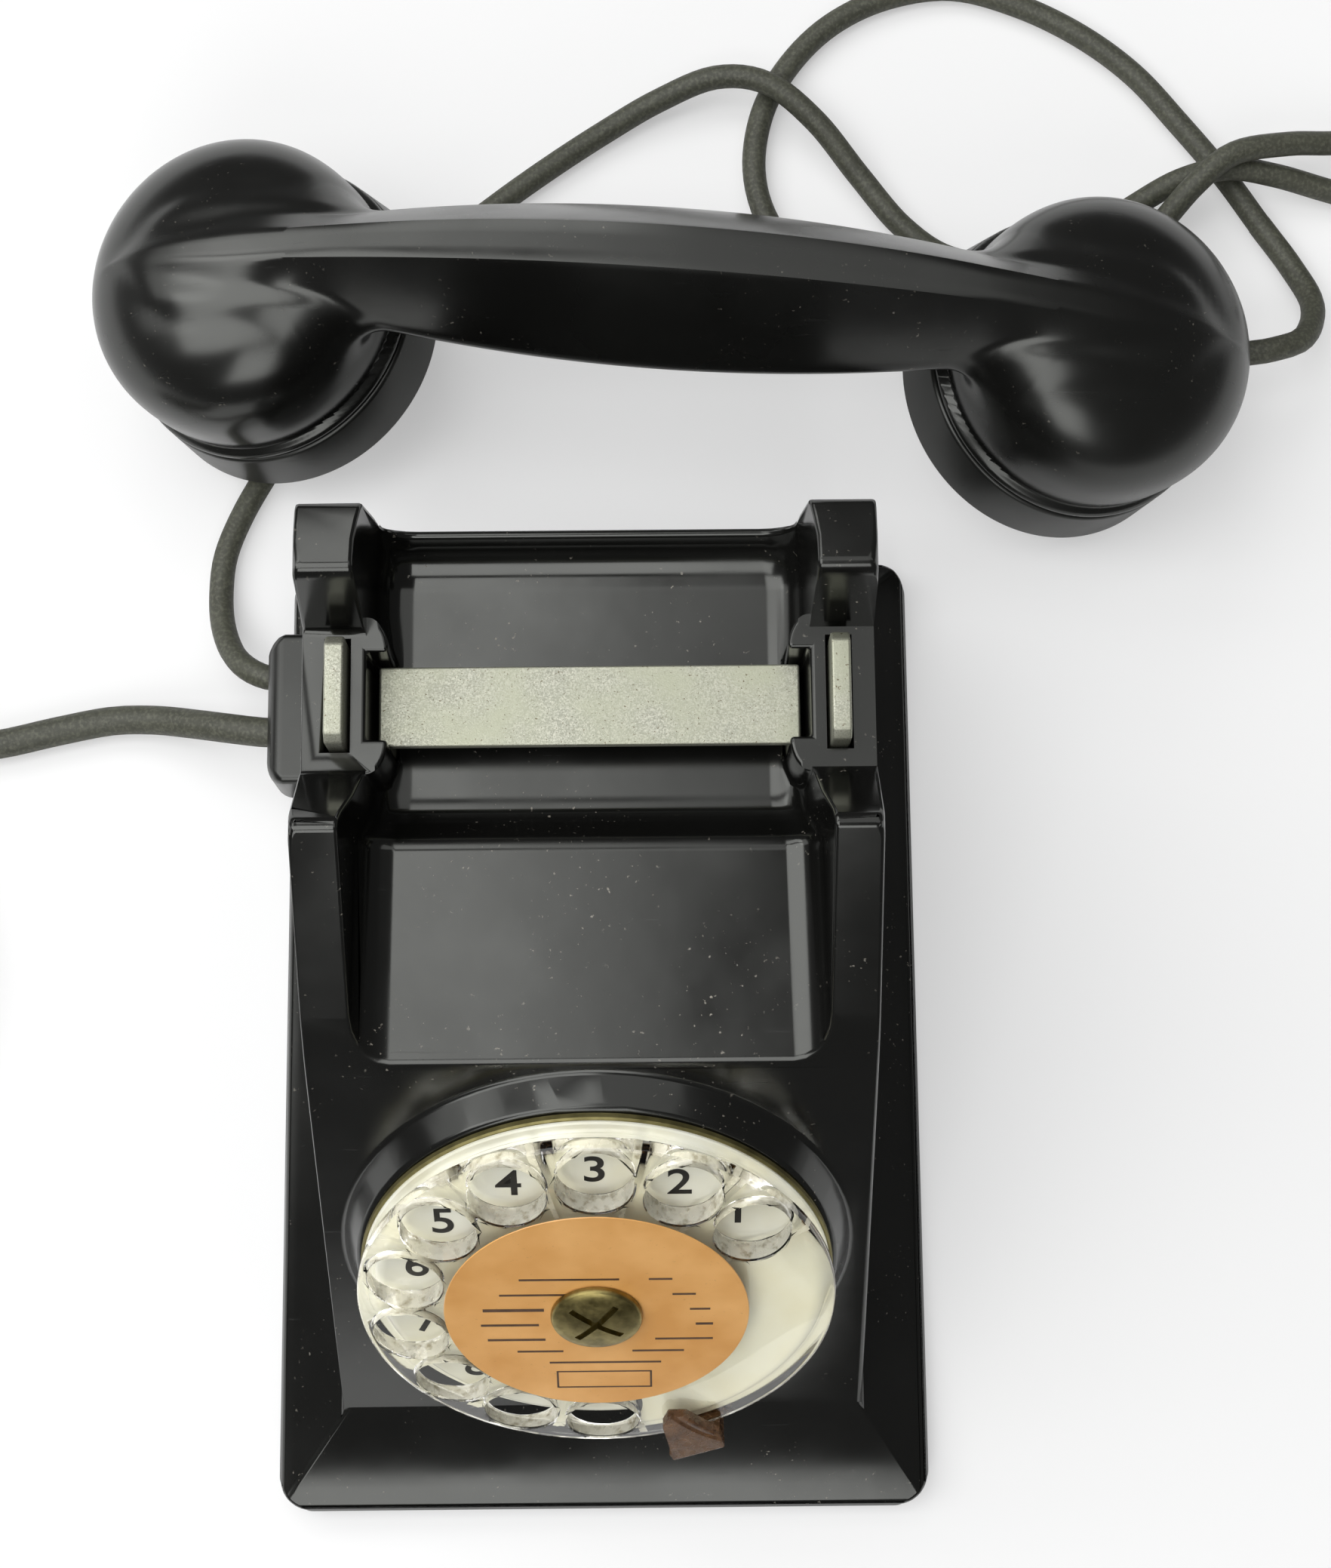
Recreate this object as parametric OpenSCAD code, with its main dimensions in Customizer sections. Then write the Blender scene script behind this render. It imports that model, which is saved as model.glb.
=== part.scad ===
// Rotary dial desk telephone with a bakelite body, clear finger wheel and corded handset.
// X to the right, Y towards the back, Z up. The origin is at the middle of the foot, on the table.

/* [Foot] */
// Width of the foot
base_w = 124; // [118:1:132]
// Length of the foot, front to back
base_l = 186; // [180:1:196]
// Radius of the foot's corners in plan
base_corner_r = 7; // [4:0.5:12]
// Height of the upright edge round the foot
rim_h = 5.5; // [4:0.5:8]
// Height where the sloping skirt meets the body
skirt_h = 15.3; // [13:0.5:20]
// Height of the rubber feet below the body
foot_h = 2.5; // [1.5:0.5:4]
// Radius of a rubber foot
foot_r = 6; // [4:0.5:8]
// Thickness of the steel base plate
plate_t = 1.5; // [1:0.1:2.5]

/* [Body] */
// Width of the body where it meets the skirt
body_w = 97.6; // [94:0.5:102]
// Width of the body across the tops of its horns
top_w = 93.6; // [90:0.5:97]
// Wall thickness of the moulding
wall = 2.8; // [2:0.1:3.2]
// Width of the skirt in front of the body
skirt_front = 18.7; // [14:0.5:24]
// Width of the skirt behind the body
skirt_back = 12; // [8:0.5:16]
// Slope of the dial face, from the table
face_tilt = 53.5; // [48:0.5:58]
// Slope of the cheeks behind the dial face
cheek_tilt = 39; // [34:1:44]
// Height of the horns
horn_h = 123.5; // [118:0.5:128]
// Place of the front horns' tops, front to back
front_horn_y = 18.4; // [15:0.2:20]
// Place of the rear horns' tops, front to back
rear_horn_y = 60.6; // [60:0.2:64]
// Depth of the rear horns' tops, front to back
rear_horn_l = 11.4; // [8:0.2:14]

/* [Cradle] */
// Height of the ground pads that guide the prongs
pad_z = 106; // [102:0.5:108]
// Front edge of the pads
pad_y0 = 30.7; // [28:0.1:32]
// Rear edge of the pads
pad_y1 = 54.2; // [54:0.1:57]
// Half the width between the pads
pad_x = 36.1; // [35.8:0.1:36.4]
// Height of the trough's floor
trough_z = 88; // [85:0.5:89]
// Height of the step at the back of the front shelf
shelf_z = 98.5; // [96:0.5:100]
// Half the width between the cheeks
cheek_x = 39.2; // [38:0.1:40]
// Radius of the fillets along the trough
trough_r = 6; // [3:0.5:8]

/* [Hook] */
// Top of the hook lever's bar
bar_z = 97.3; // [96:0.1:99]
// Width of the bar, front to back
bar_w = 13.6; // [11:0.1:14]
// Half the length of the bar
bar_x = 35.2; // [34.5:0.1:35.4]
// Thickness of the bar's strip
bar_t = 2; // [1.5:0.1:2.5]
// Thickness of a prong
prong_t = 3.2; // [2.4:0.1:3.4]
// Width of a prong, front to back
prong_w = 18; // [14:0.2:18.6]
// Height of a prong above its pad
prong_rise = 5.8; // [5.6:0.1:7]
// Radius of a return spring
spring_r = 3; // [2.4:0.1:3.4]

/* [Dial] */
// Distance of the dial's centre from the foot of the dial face, up the slope
dial_up = 51; // [50:0.2:52]
// Height of the dial's mounting ring above the face
dial_stand = 7; // [5.5:0.25:8]
// Radius of the mounting ring
ring_r = 41; // [40:0.25:42]
// Thickness of the mounting ring
ring_t = 1.5; // [1:0.1:2.5]
// Height of the number plate's face above the mounting ring
plate_rise = 3.2; // [2.6:0.1:3.4]
// Radius of the finger wheel
wheel_r = 41.2; // [40.4:0.2:42]
// Thickness of the finger wheel at its rim
wheel_t = 2.9; // [2.4:0.1:3.2]
// Rise of the finger wheel towards its middle
wheel_rise = 2; // [1:0.1:2.6]
// Radius of a finger hole
hole_r = 6.5; // [5.5:0.1:6.8]
// Radius of the circle of finger holes
hole_circle_r = 33.3; // [32.5:0.1:33.8]
// Direction of the first finger hole
hole_start = 37.6; // [34:0.2:40]
// Angle from one finger hole to the next
hole_step = 25.9; // [25:0.1:27]
// Radius of the label in the middle of the wheel
label_r = 26.2; // [22:0.2:26.2]
// Radius of the centre screw's head
screw_r = 7.6; // [6:0.2:8.5]
// Direction of the finger stop
stop_angle = -66; // [-70:1:-60]

/* [Dial movement] */
// Outer radius of the dial's case
case_r = 35.4; // [34.5:0.1:36]
// Depth of the dial's case below its mounting ring
case_d = 27; // [26:0.5:28]
// Tooth size of the wheel train
gear_module = 0.5; // [0.5:0.05:0.55]
// Teeth on the main gear
gear_teeth = 60; // [60:12:60]
// Teeth on the pinion
pinion_teeth = 12; // [12:12:12]
// Radius of the dial's spindle
spindle_r = 3; // [2.5:0.1:3.4]
// Running gap round a shaft
run_gap = 0.05; // [0.03:0.01:0.08]

/* [Handset] */
// Length from the middle of one dome to the other
dome_span = 168.6; // [160:0.2:176]
// Radius of a dome at its widest
dome_r = 30; // [28:0.25:32]
// Height of a dome's crown above its widest line
dome_h = 21.2; // [20.8:0.1:23]
// Radius of a cap at its face
cap_r = 32; // [31.5:0.25:33]
// Height of a cap
cap_h = 12.2; // [10:0.2:13]
// Distance of a dome's widest line from its cap's face
dome_up = 22.8; // [21:0.1:24]
// Tilt of the capsules towards the middle
capsule_tilt = 19.4; // [16:0.2:22]
// Height of the handle's ridge above the table
ridge_z = 71.6; // [68:0.2:73]
// Height of the ridge over the crown of a dome
ridge_proud = 2.4; // [2:0.1:3]
// Width of the flat along the ridge
ridge_w = 8.4; // [6:0.2:11]
// Width of the handle at its middle
handle_w = 34; // [30:0.5:36]
// Height of the handle's widest line
handle_z = 50; // [48:0.5:52]

/* [Ringer] */
// Gap between a gong and the wall of the body
gong_wall_gap = 3.5; // [3.4:0.1:6]
// Gap between the two gongs' rims
gong_gap = 9; // [8:0.5:12]
// Height of a gong
gong_h = 9; // [7:0.5:10]
// Wall thickness of a gong
gong_t = 1.3; // [1:0.1:1.6]
// Radius of the clapper's ball
ball_r = 3; // [2:0.1:3.2]

/* [Cords] */
// Diameter of the handset cord
handset_cord_d = 5; // [4:0.25:5.5]
// Diameter of the line cord
line_cord_d = 6; // [5:0.25:6.5]

/* [Hidden] */
$fn = 48;
big = 200;

bakelite = "#1b1b1c";
nickel = "#b9baa8";
steel = "#8d9093";
brass = "#a08a4e";

// ---- Frames and profiles -------------------------------------------------------------

// Points of an arc from angle a0 to a1
function arc(c, r, a0, a1, n = 6) =
    [for (i = [0:n]) let (a = a0 + (a1 - a0) * i / n) [c[0] + r * cos(a), c[1] + r * sin(a)]];

front_y = -base_l / 2;
back_y = base_l / 2;
body_front_y = front_y + skirt_front;
body_back_y = back_y - skirt_back;
shell_z = foot_h - 0.5;

function face_z(y) = skirt_h + (y - body_front_y) * tan(face_tilt);
function cheek_z(y) = horn_h - (front_horn_y - y) * tan(cheek_tilt);
// Where the dial face turns into the cheeks' slope
bend_y = (skirt_h - body_front_y * tan(face_tilt) - horn_h + front_horn_y * tan(cheek_tilt))
    / (tan(cheek_tilt) - tan(face_tilt));
lip_y = bend_y - 3.2;
rear_top_y = rear_horn_y + rear_horn_l;
rear_top_z = horn_h - 4;
lip_back_z = trough_z + 8.5;

// Outline of the body seen from the side, as [y, z]
body_side = [
    [body_back_y, shell_z], [body_back_y, skirt_h - 1],
    [rear_top_y, rear_top_z], [rear_top_y - 1.2, rear_top_z + 1],
    [rear_horn_y + 0.8, horn_h - 0.3], [rear_horn_y - 0.8, horn_h - 0.6],
    [rear_horn_y - 2, horn_h - 2.6], [pad_y1 + 1.2, pad_z + 4], [pad_y1, pad_z],
    [pad_y0, pad_z], [pad_y0 - 1.2, pad_z + 2.4],
    [front_horn_y + 3.4, horn_h - 3.4], [front_horn_y + 1.4, horn_h - 0.7],
    [front_horn_y - 0.4, horn_h - 0.3], [front_horn_y - 3, cheek_z(front_horn_y - 3)],
    [bend_y + 4, cheek_z(bend_y + 4) - 0.3], [bend_y, cheek_z(bend_y) - 1],
    [bend_y - 4, face_z(bend_y - 4) - 0.3],
    [body_front_y, skirt_h], [body_front_y, shell_z],
];

// Outline of the body seen from the front, as [x, z], drawn in by g
module body_front_2d(g = 0) {
    top_x = top_w / 2 - g;
    foot_x = body_w / 2 - g;
    edge = 2.2;
    polygon(concat(
        [[-foot_x, 0], [foot_x, 0], [foot_x, skirt_h]],
        arc([top_x - edge, horn_h - edge], edge, 0, 90, 4),
        arc([-top_x + edge, horn_h - edge], edge, 90, 180, 4),
        [[-foot_x, skirt_h]]));
}

module body_solid(g = 0) {
    intersection() {
        rotate([90, 0, 90]) linear_extrude(big, center = true)
            offset(delta = -g) polygon(body_side);
        rotate([90, 0, 0]) linear_extrude(2 * big, center = true) body_front_2d(g);
    }
}

// Outline of the foot in plan, drawn in by g
module foot_plan(g = 0) {
    r = base_corner_r - g / 2;
    x = base_w / 2 - g;
    l = base_l - 2 * g;
    translate([-x + r, front_y + g]) square([2 * (x - r), l]);
    translate([-x, front_y + g + r]) square([2 * x, l - 2 * r]);
    for (cx = [-x + r, x - r], cy = [front_y + g + r, back_y - g - r]) translate([cx, cy]) circle(r);
}

// Rounded rim and slope of the foot, from its edge at a to the body at b
function skirt_edge(a, b, s, soft) = [
    [a, -10], [a, rim_h], [a + s * 0.8, rim_h + 1.7], [a + s * soft, rim_h + 3.1], [b + s * 0.4, skirt_h + 0.3],
];

function reversed(v) = [for (i = [len(v) - 1:-1:0]) v[i]];

// The spreading foot, drawn in by g
module skirt(g = 0) {
    low = g > 0 ? shell_z - 1 : shell_z;
    intersection() {
        translate([0, 0, low]) linear_extrude(skirt_h) foot_plan(g);
        rotate([90, 0, 90]) linear_extrude(big, center = true) offset(delta = -g)
            polygon(concat(skirt_edge(front_y, body_front_y, 1, 5),
                reversed(skirt_edge(back_y, body_back_y, -1, 3))));
        rotate([90, 0, 0]) linear_extrude(2 * big, center = true) offset(delta = -g)
            polygon(concat(skirt_edge(-base_w / 2, -body_w / 2, 1, 3.4),
                reversed(skirt_edge(base_w / 2, body_w / 2, -1, 3.4))));
    }
}

// A U section of the trough at y, its floor at z, as 3-D points
function trough_section(y, z, x, r, top) = concat(
    [[x + draft * (top - z), y, top]],
    [for (p = arc([x - r, z + r], r, 0, -90, 5)) [p[0], y, p[1]]],
    [for (p = arc([-x + r, z + r], r, 270, 180, 5)) [p[0], y, p[1]]],
    [[-x - draft * (top - z), y, top]]);

// Closed body through a row of like sections, each clockwise when seen from before the first
module loft(rows) {
    n = len(rows[0]);
    m = len(rows);
    polyhedron(
        points = [for (s = rows) each s],
        faces = concat(
            [[for (i = [0:n - 1]) i]],
            [for (k = [0:m - 2], i = [0:n - 1]) let (a = k * n + i, b = k * n + (i + 1) % n)
                [b, a, a + n, b + n]],
            [[for (i = [n - 1:-1:0]) (m - 1) * n + i]]));
}

draft = 0.03;
shelf_y = front_horn_y + 1.4;
step_y = shelf_y + 8.5;
lip_z = face_z(lip_y);
shelf_slope = (shelf_z - lip_z) / (shelf_y - lip_y);
rear_y = body_back_y - (body_back_y - rear_top_y) * 0.75;

// The trough between the horns, grown by g all round
module trough(g = 0) {
    top = horn_h + 20;
    r = trough_r + g;
    front = lip_y - 25;
    rows = [
        [front, shelf_z + (front - shelf_y) * shelf_slope, cheek_x + 0.6],
        [lip_y, lip_z, cheek_x],
        [shelf_y - 1, shelf_z - 1 * shelf_slope, cheek_x - 1],
        [shelf_y + 1, shelf_z - 0.9, cheek_x - 1.2],
        [step_y - 3.4, trough_z + 2.4, pad_x + 0.6],
        [step_y - 1.4, trough_z + 0.6, pad_x + 0.3],
        [step_y + 1.6, trough_z, pad_x],
        [rear_y - 9, trough_z, pad_x],
        [rear_y - 5.6, trough_z + 0.9, pad_x - 0.4],
        [rear_y - 3.2, trough_z + 3, pad_x - 0.8],
        [rear_y - 2.2, trough_z + 5.4, pad_x - 1],
        [rear_y - 1.6, lip_back_z, pad_x - 1.2],
        [back_y + 10, lip_back_z, pad_x - 1.2],
    ];
    loft([for (p = rows) trough_section(p[0], p[1] - g, p[2] + g, r, top)]);
}

// ---- Dial frame ------------------------------------------------------------------------

dial_y = body_front_y + dial_up * cos(face_tilt) - dial_stand * sin(face_tilt);
dial_z = skirt_h + dial_up * sin(face_tilt) + dial_stand * cos(face_tilt);

// Places children with Z along the dial's axis and zero on the mounting ring's face
module on_dial(h = 0) {
    translate([0, dial_y, dial_z]) rotate([face_tilt, 0, 0]) translate([0, 0, h]) children();
}

module tube(r, bore, h) {
    difference() {
        cylinder(r = r, h = h);
        translate([0, 0, -1]) cylinder(r = bore, h = h + 2);
    }
}

// ---- Body ------------------------------------------------------------------------------

hook_y = (pad_y0 + pad_y1) / 2 + 0.8;
slot_gap = 0.6;
prong_x0 = pad_x + 3.5;
leg_z = trough_z - 18;
screw_x = base_w / 2 - 13;
screw_y = base_l / 2 - 14;
screw_shank_r = 1.6;
plate_inset = wall + 1;
gland_from_back = 33;
gland_y = back_y - gland_from_back;
gland_l = 30;
gland_h = 17;
gland_out = base_w / 2 + 3;
gland_z = rim_h + 1;
boss_x = 22;
boss_gap = 8.6;
boss_edge = 4;
boss_drop = 5;

module plate_bosses() {
    for (x = [-screw_x, screw_x], y = [-screw_y, screw_y])
        translate([x, y, foot_h + plate_t]) cylinder(r = 4, h = skirt_h);
}

// Plain columns under the trough that the bracket screws into
module bracket_bosses() {
    for (x = [-boss_x, boss_x], s = [-1, 1])
        translate([x, hook_y + s * (bar_w / 2 + boss_gap), trough_z - wall - boss_drop])
            cylinder(r = 3.4, h = boss_drop + 0.5);
}

// A quarter-round guide on the cradle's inner wall, beside the bar
module guide_ear() {
    intersection() {
        scale([1, 1.6, 1]) cylinder(r = 3.6, h = pad_z - trough_z + 1);
        translate([-0.5, 0, 0]) cube([6, 8, pad_z]);
    }
}

module guide_ears() {
    reach = bar_w / 2 + slot_gap;
    for (m = [0, 1], s = [-1, 1]) mirror([m, 0, 0])
        translate([-pad_x - 0.4, hook_y + s * reach, trough_z - 1])
            mirror([0, s < 0 ? 1 : 0, 0]) guide_ear();
}

module hook_slots() {
    for (m = [0, 1]) mirror([m, 0, 0]) {
        translate([prong_x0 - slot_gap, hook_y - prong_w / 2 - slot_gap, trough_z])
            cube([prong_t + 2 * slot_gap, prong_w + 2 * slot_gap, big]);
        translate([bar_x - bar_t - slot_gap, hook_y - bar_w / 2 - slot_gap, trough_z - 2 * wall])
            cube([bar_t + 2 * slot_gap, bar_w + 2 * slot_gap, bar_z + 2 * wall - trough_z]);
    }
}

module gland_notch() {
    gap = 0.2;
    translate([-gland_out - 1, gland_y - gland_l / 2 - gap, -1])
        cube([gland_out + 1 - body_w / 2 + 1.5 * wall, gland_l + 2 * gap, gland_z + gland_h + 1 + gap]);
}

module housing() {
    color(bakelite) difference() {
        union() {
            difference() {
                union() {
                    body_solid();
                    skirt();
                    on_dial(-dial_stand - 2)
                        cylinder(r1 = ring_r + 4.4, r2 = ring_r + 0.6, h = dial_stand + 2 - ring_t);
                }
                difference() {
                    union() {
                        body_solid(wall);
                        skirt(wall);
                    }
                    trough(wall);
                }
            }
            intersection() {
                bracket_bosses();
                translate([0, 0, big / 2 + trough_z / 2]) cube([big, big, big], center = true);
            }
            intersection() {
                plate_bosses();
                skirt();
            }
        }
        difference() {
            trough();
            guide_ears();
        }
        hook_slots();
        on_dial(-case_d - 2) cylinder(r = case_r + 0.3, h = case_d + 10);
        on_dial() rotate(stop_angle) translate([ring_r + 0.3, -stop_w / 2 - 0.2, -stop_foot])
            cube([8, stop_w + 0.4, stop_foot + 10]);
        gland_notch();
        for (x = [-screw_x, screw_x], y = [-screw_y, screw_y])
            translate([x, y, 0]) cylinder(r = screw_shank_r, h = foot_h + plate_t + rim_h - 1, $fn = 24);
        for (x = [-boss_x, boss_x], s = [-1, 1])
            translate([x, hook_y + s * (bar_w / 2 + boss_gap), trough_z - wall - boss_drop - 1])
                cylinder(r = 1.2, h = boss_drop + 1, $fn = 24);
        translate([0, 0, -1]) linear_extrude(foot_h + plate_t + 1) foot_plan(plate_inset - 0.5);
    }
}

module base_plate() {
    color(steel) difference() {
        translate([0, 0, foot_h]) linear_extrude(plate_t) foot_plan(plate_inset);
        for (x = [-screw_x, screw_x], y = [-screw_y, screw_y])
            translate([x, y, 0]) cylinder(r = screw_shank_r + 0.2, h = 20, $fn = 24);
        translate([-gland_out, gland_y - gland_l / 2 - 1, 0])
            cube([gland_out - body_w / 2 + wall * 2 + 1, gland_l + 2, 20]);
    }
}

module feet() {
    color("#2a2826") for (x = [-1, 1], y = [-1, 1])
        translate([x * (screw_x - foot_r - 5), y * (screw_y - foot_r), 0]) {
            cylinder(r1 = foot_r - 0.8, r2 = foot_r, h = foot_h);
        }
}

module base_screws() {
    color(steel) for (x = [-screw_x, screw_x], y = [-screw_y, screw_y])
        translate([x, y, foot_h]) {
            translate([0, 0, -1.6]) difference() {
                cylinder(r = 3.2, h = 1.6);
                cube([0.8, 8, 1.4], center = true);
            }
            cylinder(r = screw_shank_r - 0.1, h = plate_t + rim_h - 2, $fn = 24);
        }
}

line_exit_y = gland_y - 3;
handset_exit_y = gland_y + 8;
exit_z = gland_z + 7;

module cord_gland() {
    l = gland_l;
    inner = body_w / 2 - wall;
    color("#1f1e1d") difference() {
        union() {
            translate([-gland_out, gland_y - l / 2, gland_z]) hull() {
                translate([0, 3, 2]) cube([1, l - 6, gland_h - 5]);
                translate([2, 0, 0]) cube([gland_out - inner - 2, l, gland_h]);
            }
            translate([-inner, gland_y - l / 2 + 2, gland_z])
                cube([3, l - 4, gland_h - 3]);
        }
        for (c = [[line_exit_y, line_cord_d], [handset_exit_y, handset_cord_d]])
            translate([-gland_out - 1, c[0], exit_z]) rotate([0, 90, 0])
                cylinder(r = c[1] / 2 + 0.2, h = 5);
    }
}

// ---- Hook ------------------------------------------------------------------------------

module prong() {
    bevel = 1.6;
    top = pad_z + prong_rise;
    translate([0, hook_y, 0]) rotate([90, 0, 90]) linear_extrude(prong_t)
        polygon([[-prong_w / 2, leg_z], [prong_w / 2, leg_z], [prong_w / 2, top - bevel],
            [prong_w / 2 - bevel, top], [-prong_w / 2 + bevel, top], [-prong_w / 2, top - bevel]]);
}

module hook_lever() {
    web_t = 2.5;
    color(nickel) union() {
        translate([-bar_x, hook_y - bar_w / 2, bar_z - bar_t]) cube([2 * bar_x, bar_w, bar_t]);
        for (m = [0, 1]) mirror([m, 0, 0]) {
            translate([bar_x - bar_t, hook_y - bar_w / 2, leg_z]) cube([bar_t, bar_w, bar_z - leg_z]);
            translate([bar_x - bar_t - 5, hook_y - bar_w / 2, leg_z])
                cube([prong_x0 + prong_t - bar_x + bar_t + 5, bar_w, web_t]);
            translate([prong_x0, 0, 0]) prong();
        }
    }
}

spring_len = 11.5;
seat_z = leg_z - spring_len;
bracket_t = 1.5;
riser_y = bar_w / 2 + boss_edge;
window_x = 16;
window_rim = 4.5;
shelf_w = 14;

module hook_bracket() {
    seat_x = body_w / 2 - wall - 2.5;
    foot_z = trough_z - wall - boss_drop;
    color(steel) difference() {
        union() {
            translate([-seat_x, hook_y - shelf_w / 2, seat_z - bracket_t]) cube([2 * seat_x, shelf_w, bracket_t]);
            for (s = [-1, 1]) translate([0, hook_y, 0]) mirror([0, s < 0 ? 1 : 0, 0]) {
                translate([-boss_x - boss_edge, shelf_w / 2 - 1, seat_z - bracket_t])
                    cube([2 * (boss_x + boss_edge), riser_y - shelf_w / 2 + 1, bracket_t]);
                translate([-boss_x - boss_edge, riser_y - bracket_t, seat_z - bracket_t])
                    cube([2 * (boss_x + boss_edge), bracket_t, foot_z - seat_z + bracket_t]);
                translate([-boss_x - boss_edge, riser_y - bracket_t, foot_z - bracket_t])
                    cube([2 * (boss_x + boss_edge), boss_gap + bar_w / 2 + boss_edge - riser_y, bracket_t]);
            }
        }
        for (x = [-boss_x, boss_x], s = [-1, 1])
            translate([x, hook_y + s * (bar_w / 2 + boss_gap), foot_z - 3])
                cylinder(r = 1.4, h = 6, $fn = 24);
        for (s = [-1, 1]) translate([-window_x, hook_y + s * riser_y - riser_y / 2, seat_z + window_rim])
            cube([2 * window_x, riser_y, foot_z - seat_z - 2 * window_rim]);
    }
}

module bracket_screws() {
    foot_z = trough_z - wall - boss_drop;
    color(steel) for (x = [-boss_x, boss_x], s = [-1, 1])
        translate([x, hook_y + s * (bar_w / 2 + boss_gap), foot_z - bracket_t]) {
            translate([0, 0, -1.4]) cylinder(r = 2.4, h = 1.4);
            cylinder(r = 1.15, h = bracket_t + boss_drop - 1, $fn = 24);
        }
}

function unit(v) = v / norm(v);

// Ring of n points round p, square to the direction t
function ring(p, t, r, n) =
    let (side = unit(cross([0, 0, 1], t)), up = cross(t, side))
    [for (i = [0:n - 1]) p + r * (cos(360 * i / n) * side + sin(360 * i / n) * up)];

// Point i of a row of points, and the direction of the row there
function heading(row, i) = unit(row[min(i + 1, len(row) - 1)] - row[max(i - 1, 0)]);

// Round tube through a row of points
module run(row, r, n = 8) {
    loft([for (i = [0:len(row) - 1]) ring(row[i], heading(row, i), r, n)]);
}

module hook_springs() {
    wire_r = 0.45;
    turns = 5;
    steps = 12;
    coil_r = spring_r - wire_r;
    rise = spring_len - 2 * wire_r;
    x = (bar_x - bar_t - 5 + prong_x0 + prong_t) / 2;
    color(steel) for (s = [-1, 1]) translate([s * x, hook_y, seat_z + wire_r])
        run([for (i = [0:turns * steps]) let (a = i * 360 / steps)
            [coil_r * cos(a), coil_r * sin(a), rise * i / (turns * steps)]], wire_r, 6);
}

stack_x = -22;
stack_w = 12;
blade_gap = 2;
blade_z = leg_z + 2.5 + 0.3;

module contact_stack() {
    color("#6b3a22") difference() {
        translate([stack_x, hook_y - 4, seat_z]) cube([stack_w, 8, blade_z + 3 * blade_gap - seat_z + 1]);
        contact_blade_slots();
    }
}

module contact_blade_slots() {
    for (i = [0:2]) translate([stack_x - 1, hook_y - 2.5, blade_z + i * blade_gap])
        cube([stack_w + 2, 5, 0.5]);
}

module contact_blades() {
    color(brass) for (i = [0:2]) {
        reach = i == 0 ? 10 : 9;
        translate([stack_x - reach, hook_y - 2.5, blade_z + i * blade_gap])
            cube([stack_w + reach + 3, 5, 0.5]);
        if (i < 2) translate([stack_x - 7, hook_y, blade_z + i * blade_gap + 0.5])
            cylinder(r = 1, h = 0.6, $fn = 24);
    }
}

// ---- Ringer ----------------------------------------------------------------------------

floor_z = foot_h + plate_t;
gong_from_back = 31;
pivot_reach = 38;
yoke_reach = 28.6;
gong_r = (body_w / 2 - wall - gong_wall_gap - gong_gap / 2) / 2;
gong_x = gong_r + gong_gap / 2;
gong_y = body_back_y - gong_from_back;
gong_rim_z = floor_z + 15;
bell_z = gong_rim_z + 3;
pivot_y = gong_y - pivot_reach;
frame_t = 2;
frame_w = 40;
frame_arm_w = 12;
frame_tongue = 8;
frame_disc_r = 7;
pivot_r = 1;
pivot_gap = 0.03;
coil_r = 7;
coil_x = 9.5;
coil_y1 = pivot_y - 7;
coil_y0 = dial_y + yoke_reach;
coil_l = coil_y1 - coil_y0;
core_r = 3;
yoke_t = 3;
magnet_w = 9;
armature_w = 28;
armature_t = 2.5;
armature_h = 8;
rod_w = 1.6;
armature_y = pivot_y - armature_t;
gong_post_r = 3;
gong_bore_r = 2.6;
gong_screw_h = 2;
gong_seat = gong_h - gong_t - 0.2;

module bell_frame() {
    color(steel) difference() {
        union() {
            translate([-frame_w / 2, coil_y0 - frame_tongue / 2, floor_z])
                cube([frame_w, gong_y - coil_y0 + frame_tongue, frame_t]);
            for (s = [-1, 1]) translate([s * gong_x, gong_y, floor_z]) cylinder(r = frame_disc_r, h = frame_t);
            translate([-gong_x, gong_y - frame_arm_w / 2, floor_z]) cube([2 * gong_x, frame_arm_w, frame_t]);
            translate([0, pivot_y, floor_z]) cylinder(r = 3.5 * pivot_r, h = bell_z - armature_h / 2 - floor_z);
        }
        translate([0, pivot_y, floor_z - 1]) cylinder(r = pivot_r, h = bell_z, $fn = 24);
    }
}

module bell_yoke() {
    color(steel) difference() {
        translate([-coil_x - coil_r, coil_y0 - yoke_t, floor_z + frame_t])
            cube([2 * (coil_x + coil_r), yoke_t, bell_z + coil_r - floor_z - frame_t]);
        for (s = [-1, 1]) translate([s * coil_x, coil_y0 + 1, bell_z]) rotate([90, 0, 0])
            cylinder(r = core_r + 0.02, h = 2 * yoke_t);
    }
}

module bell_coils() {
    for (s = [-1, 1]) translate([s * coil_x, 0, bell_z]) rotate([-90, 0, 0]) {
        color("#7a4a2a") translate([0, 0, coil_y0]) difference() {
            union() {
                cylinder(r = coil_r - 0.6, h = coil_y1 - coil_y0);
                cylinder(r = coil_r, h = 1.2);
                translate([0, 0, coil_y1 - coil_y0 - 1.2]) cylinder(r = coil_r, h = 1.2);
            }
            translate([0, 0, -1]) cylinder(r = core_r + 0.02, h = coil_l + 2);
        }
        color(steel) translate([0, 0, coil_y0 - yoke_t]) cylinder(r = core_r, h = coil_l + yoke_t + 2.5);
    }
}

module bell_magnet() {
    color("#5c2a20") translate([-magnet_w / 2, coil_y0, floor_z + frame_t])
        cube([magnet_w, armature_y - 4 - coil_y0, bell_z - coil_r - floor_z - frame_t]);
}

module bell_pivot() {
    color(steel) translate([0, pivot_y, floor_z + frame_t])
        cylinder(r = pivot_r - pivot_gap, h = bell_z + 3 - floor_z, $fn = 24);
}

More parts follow.
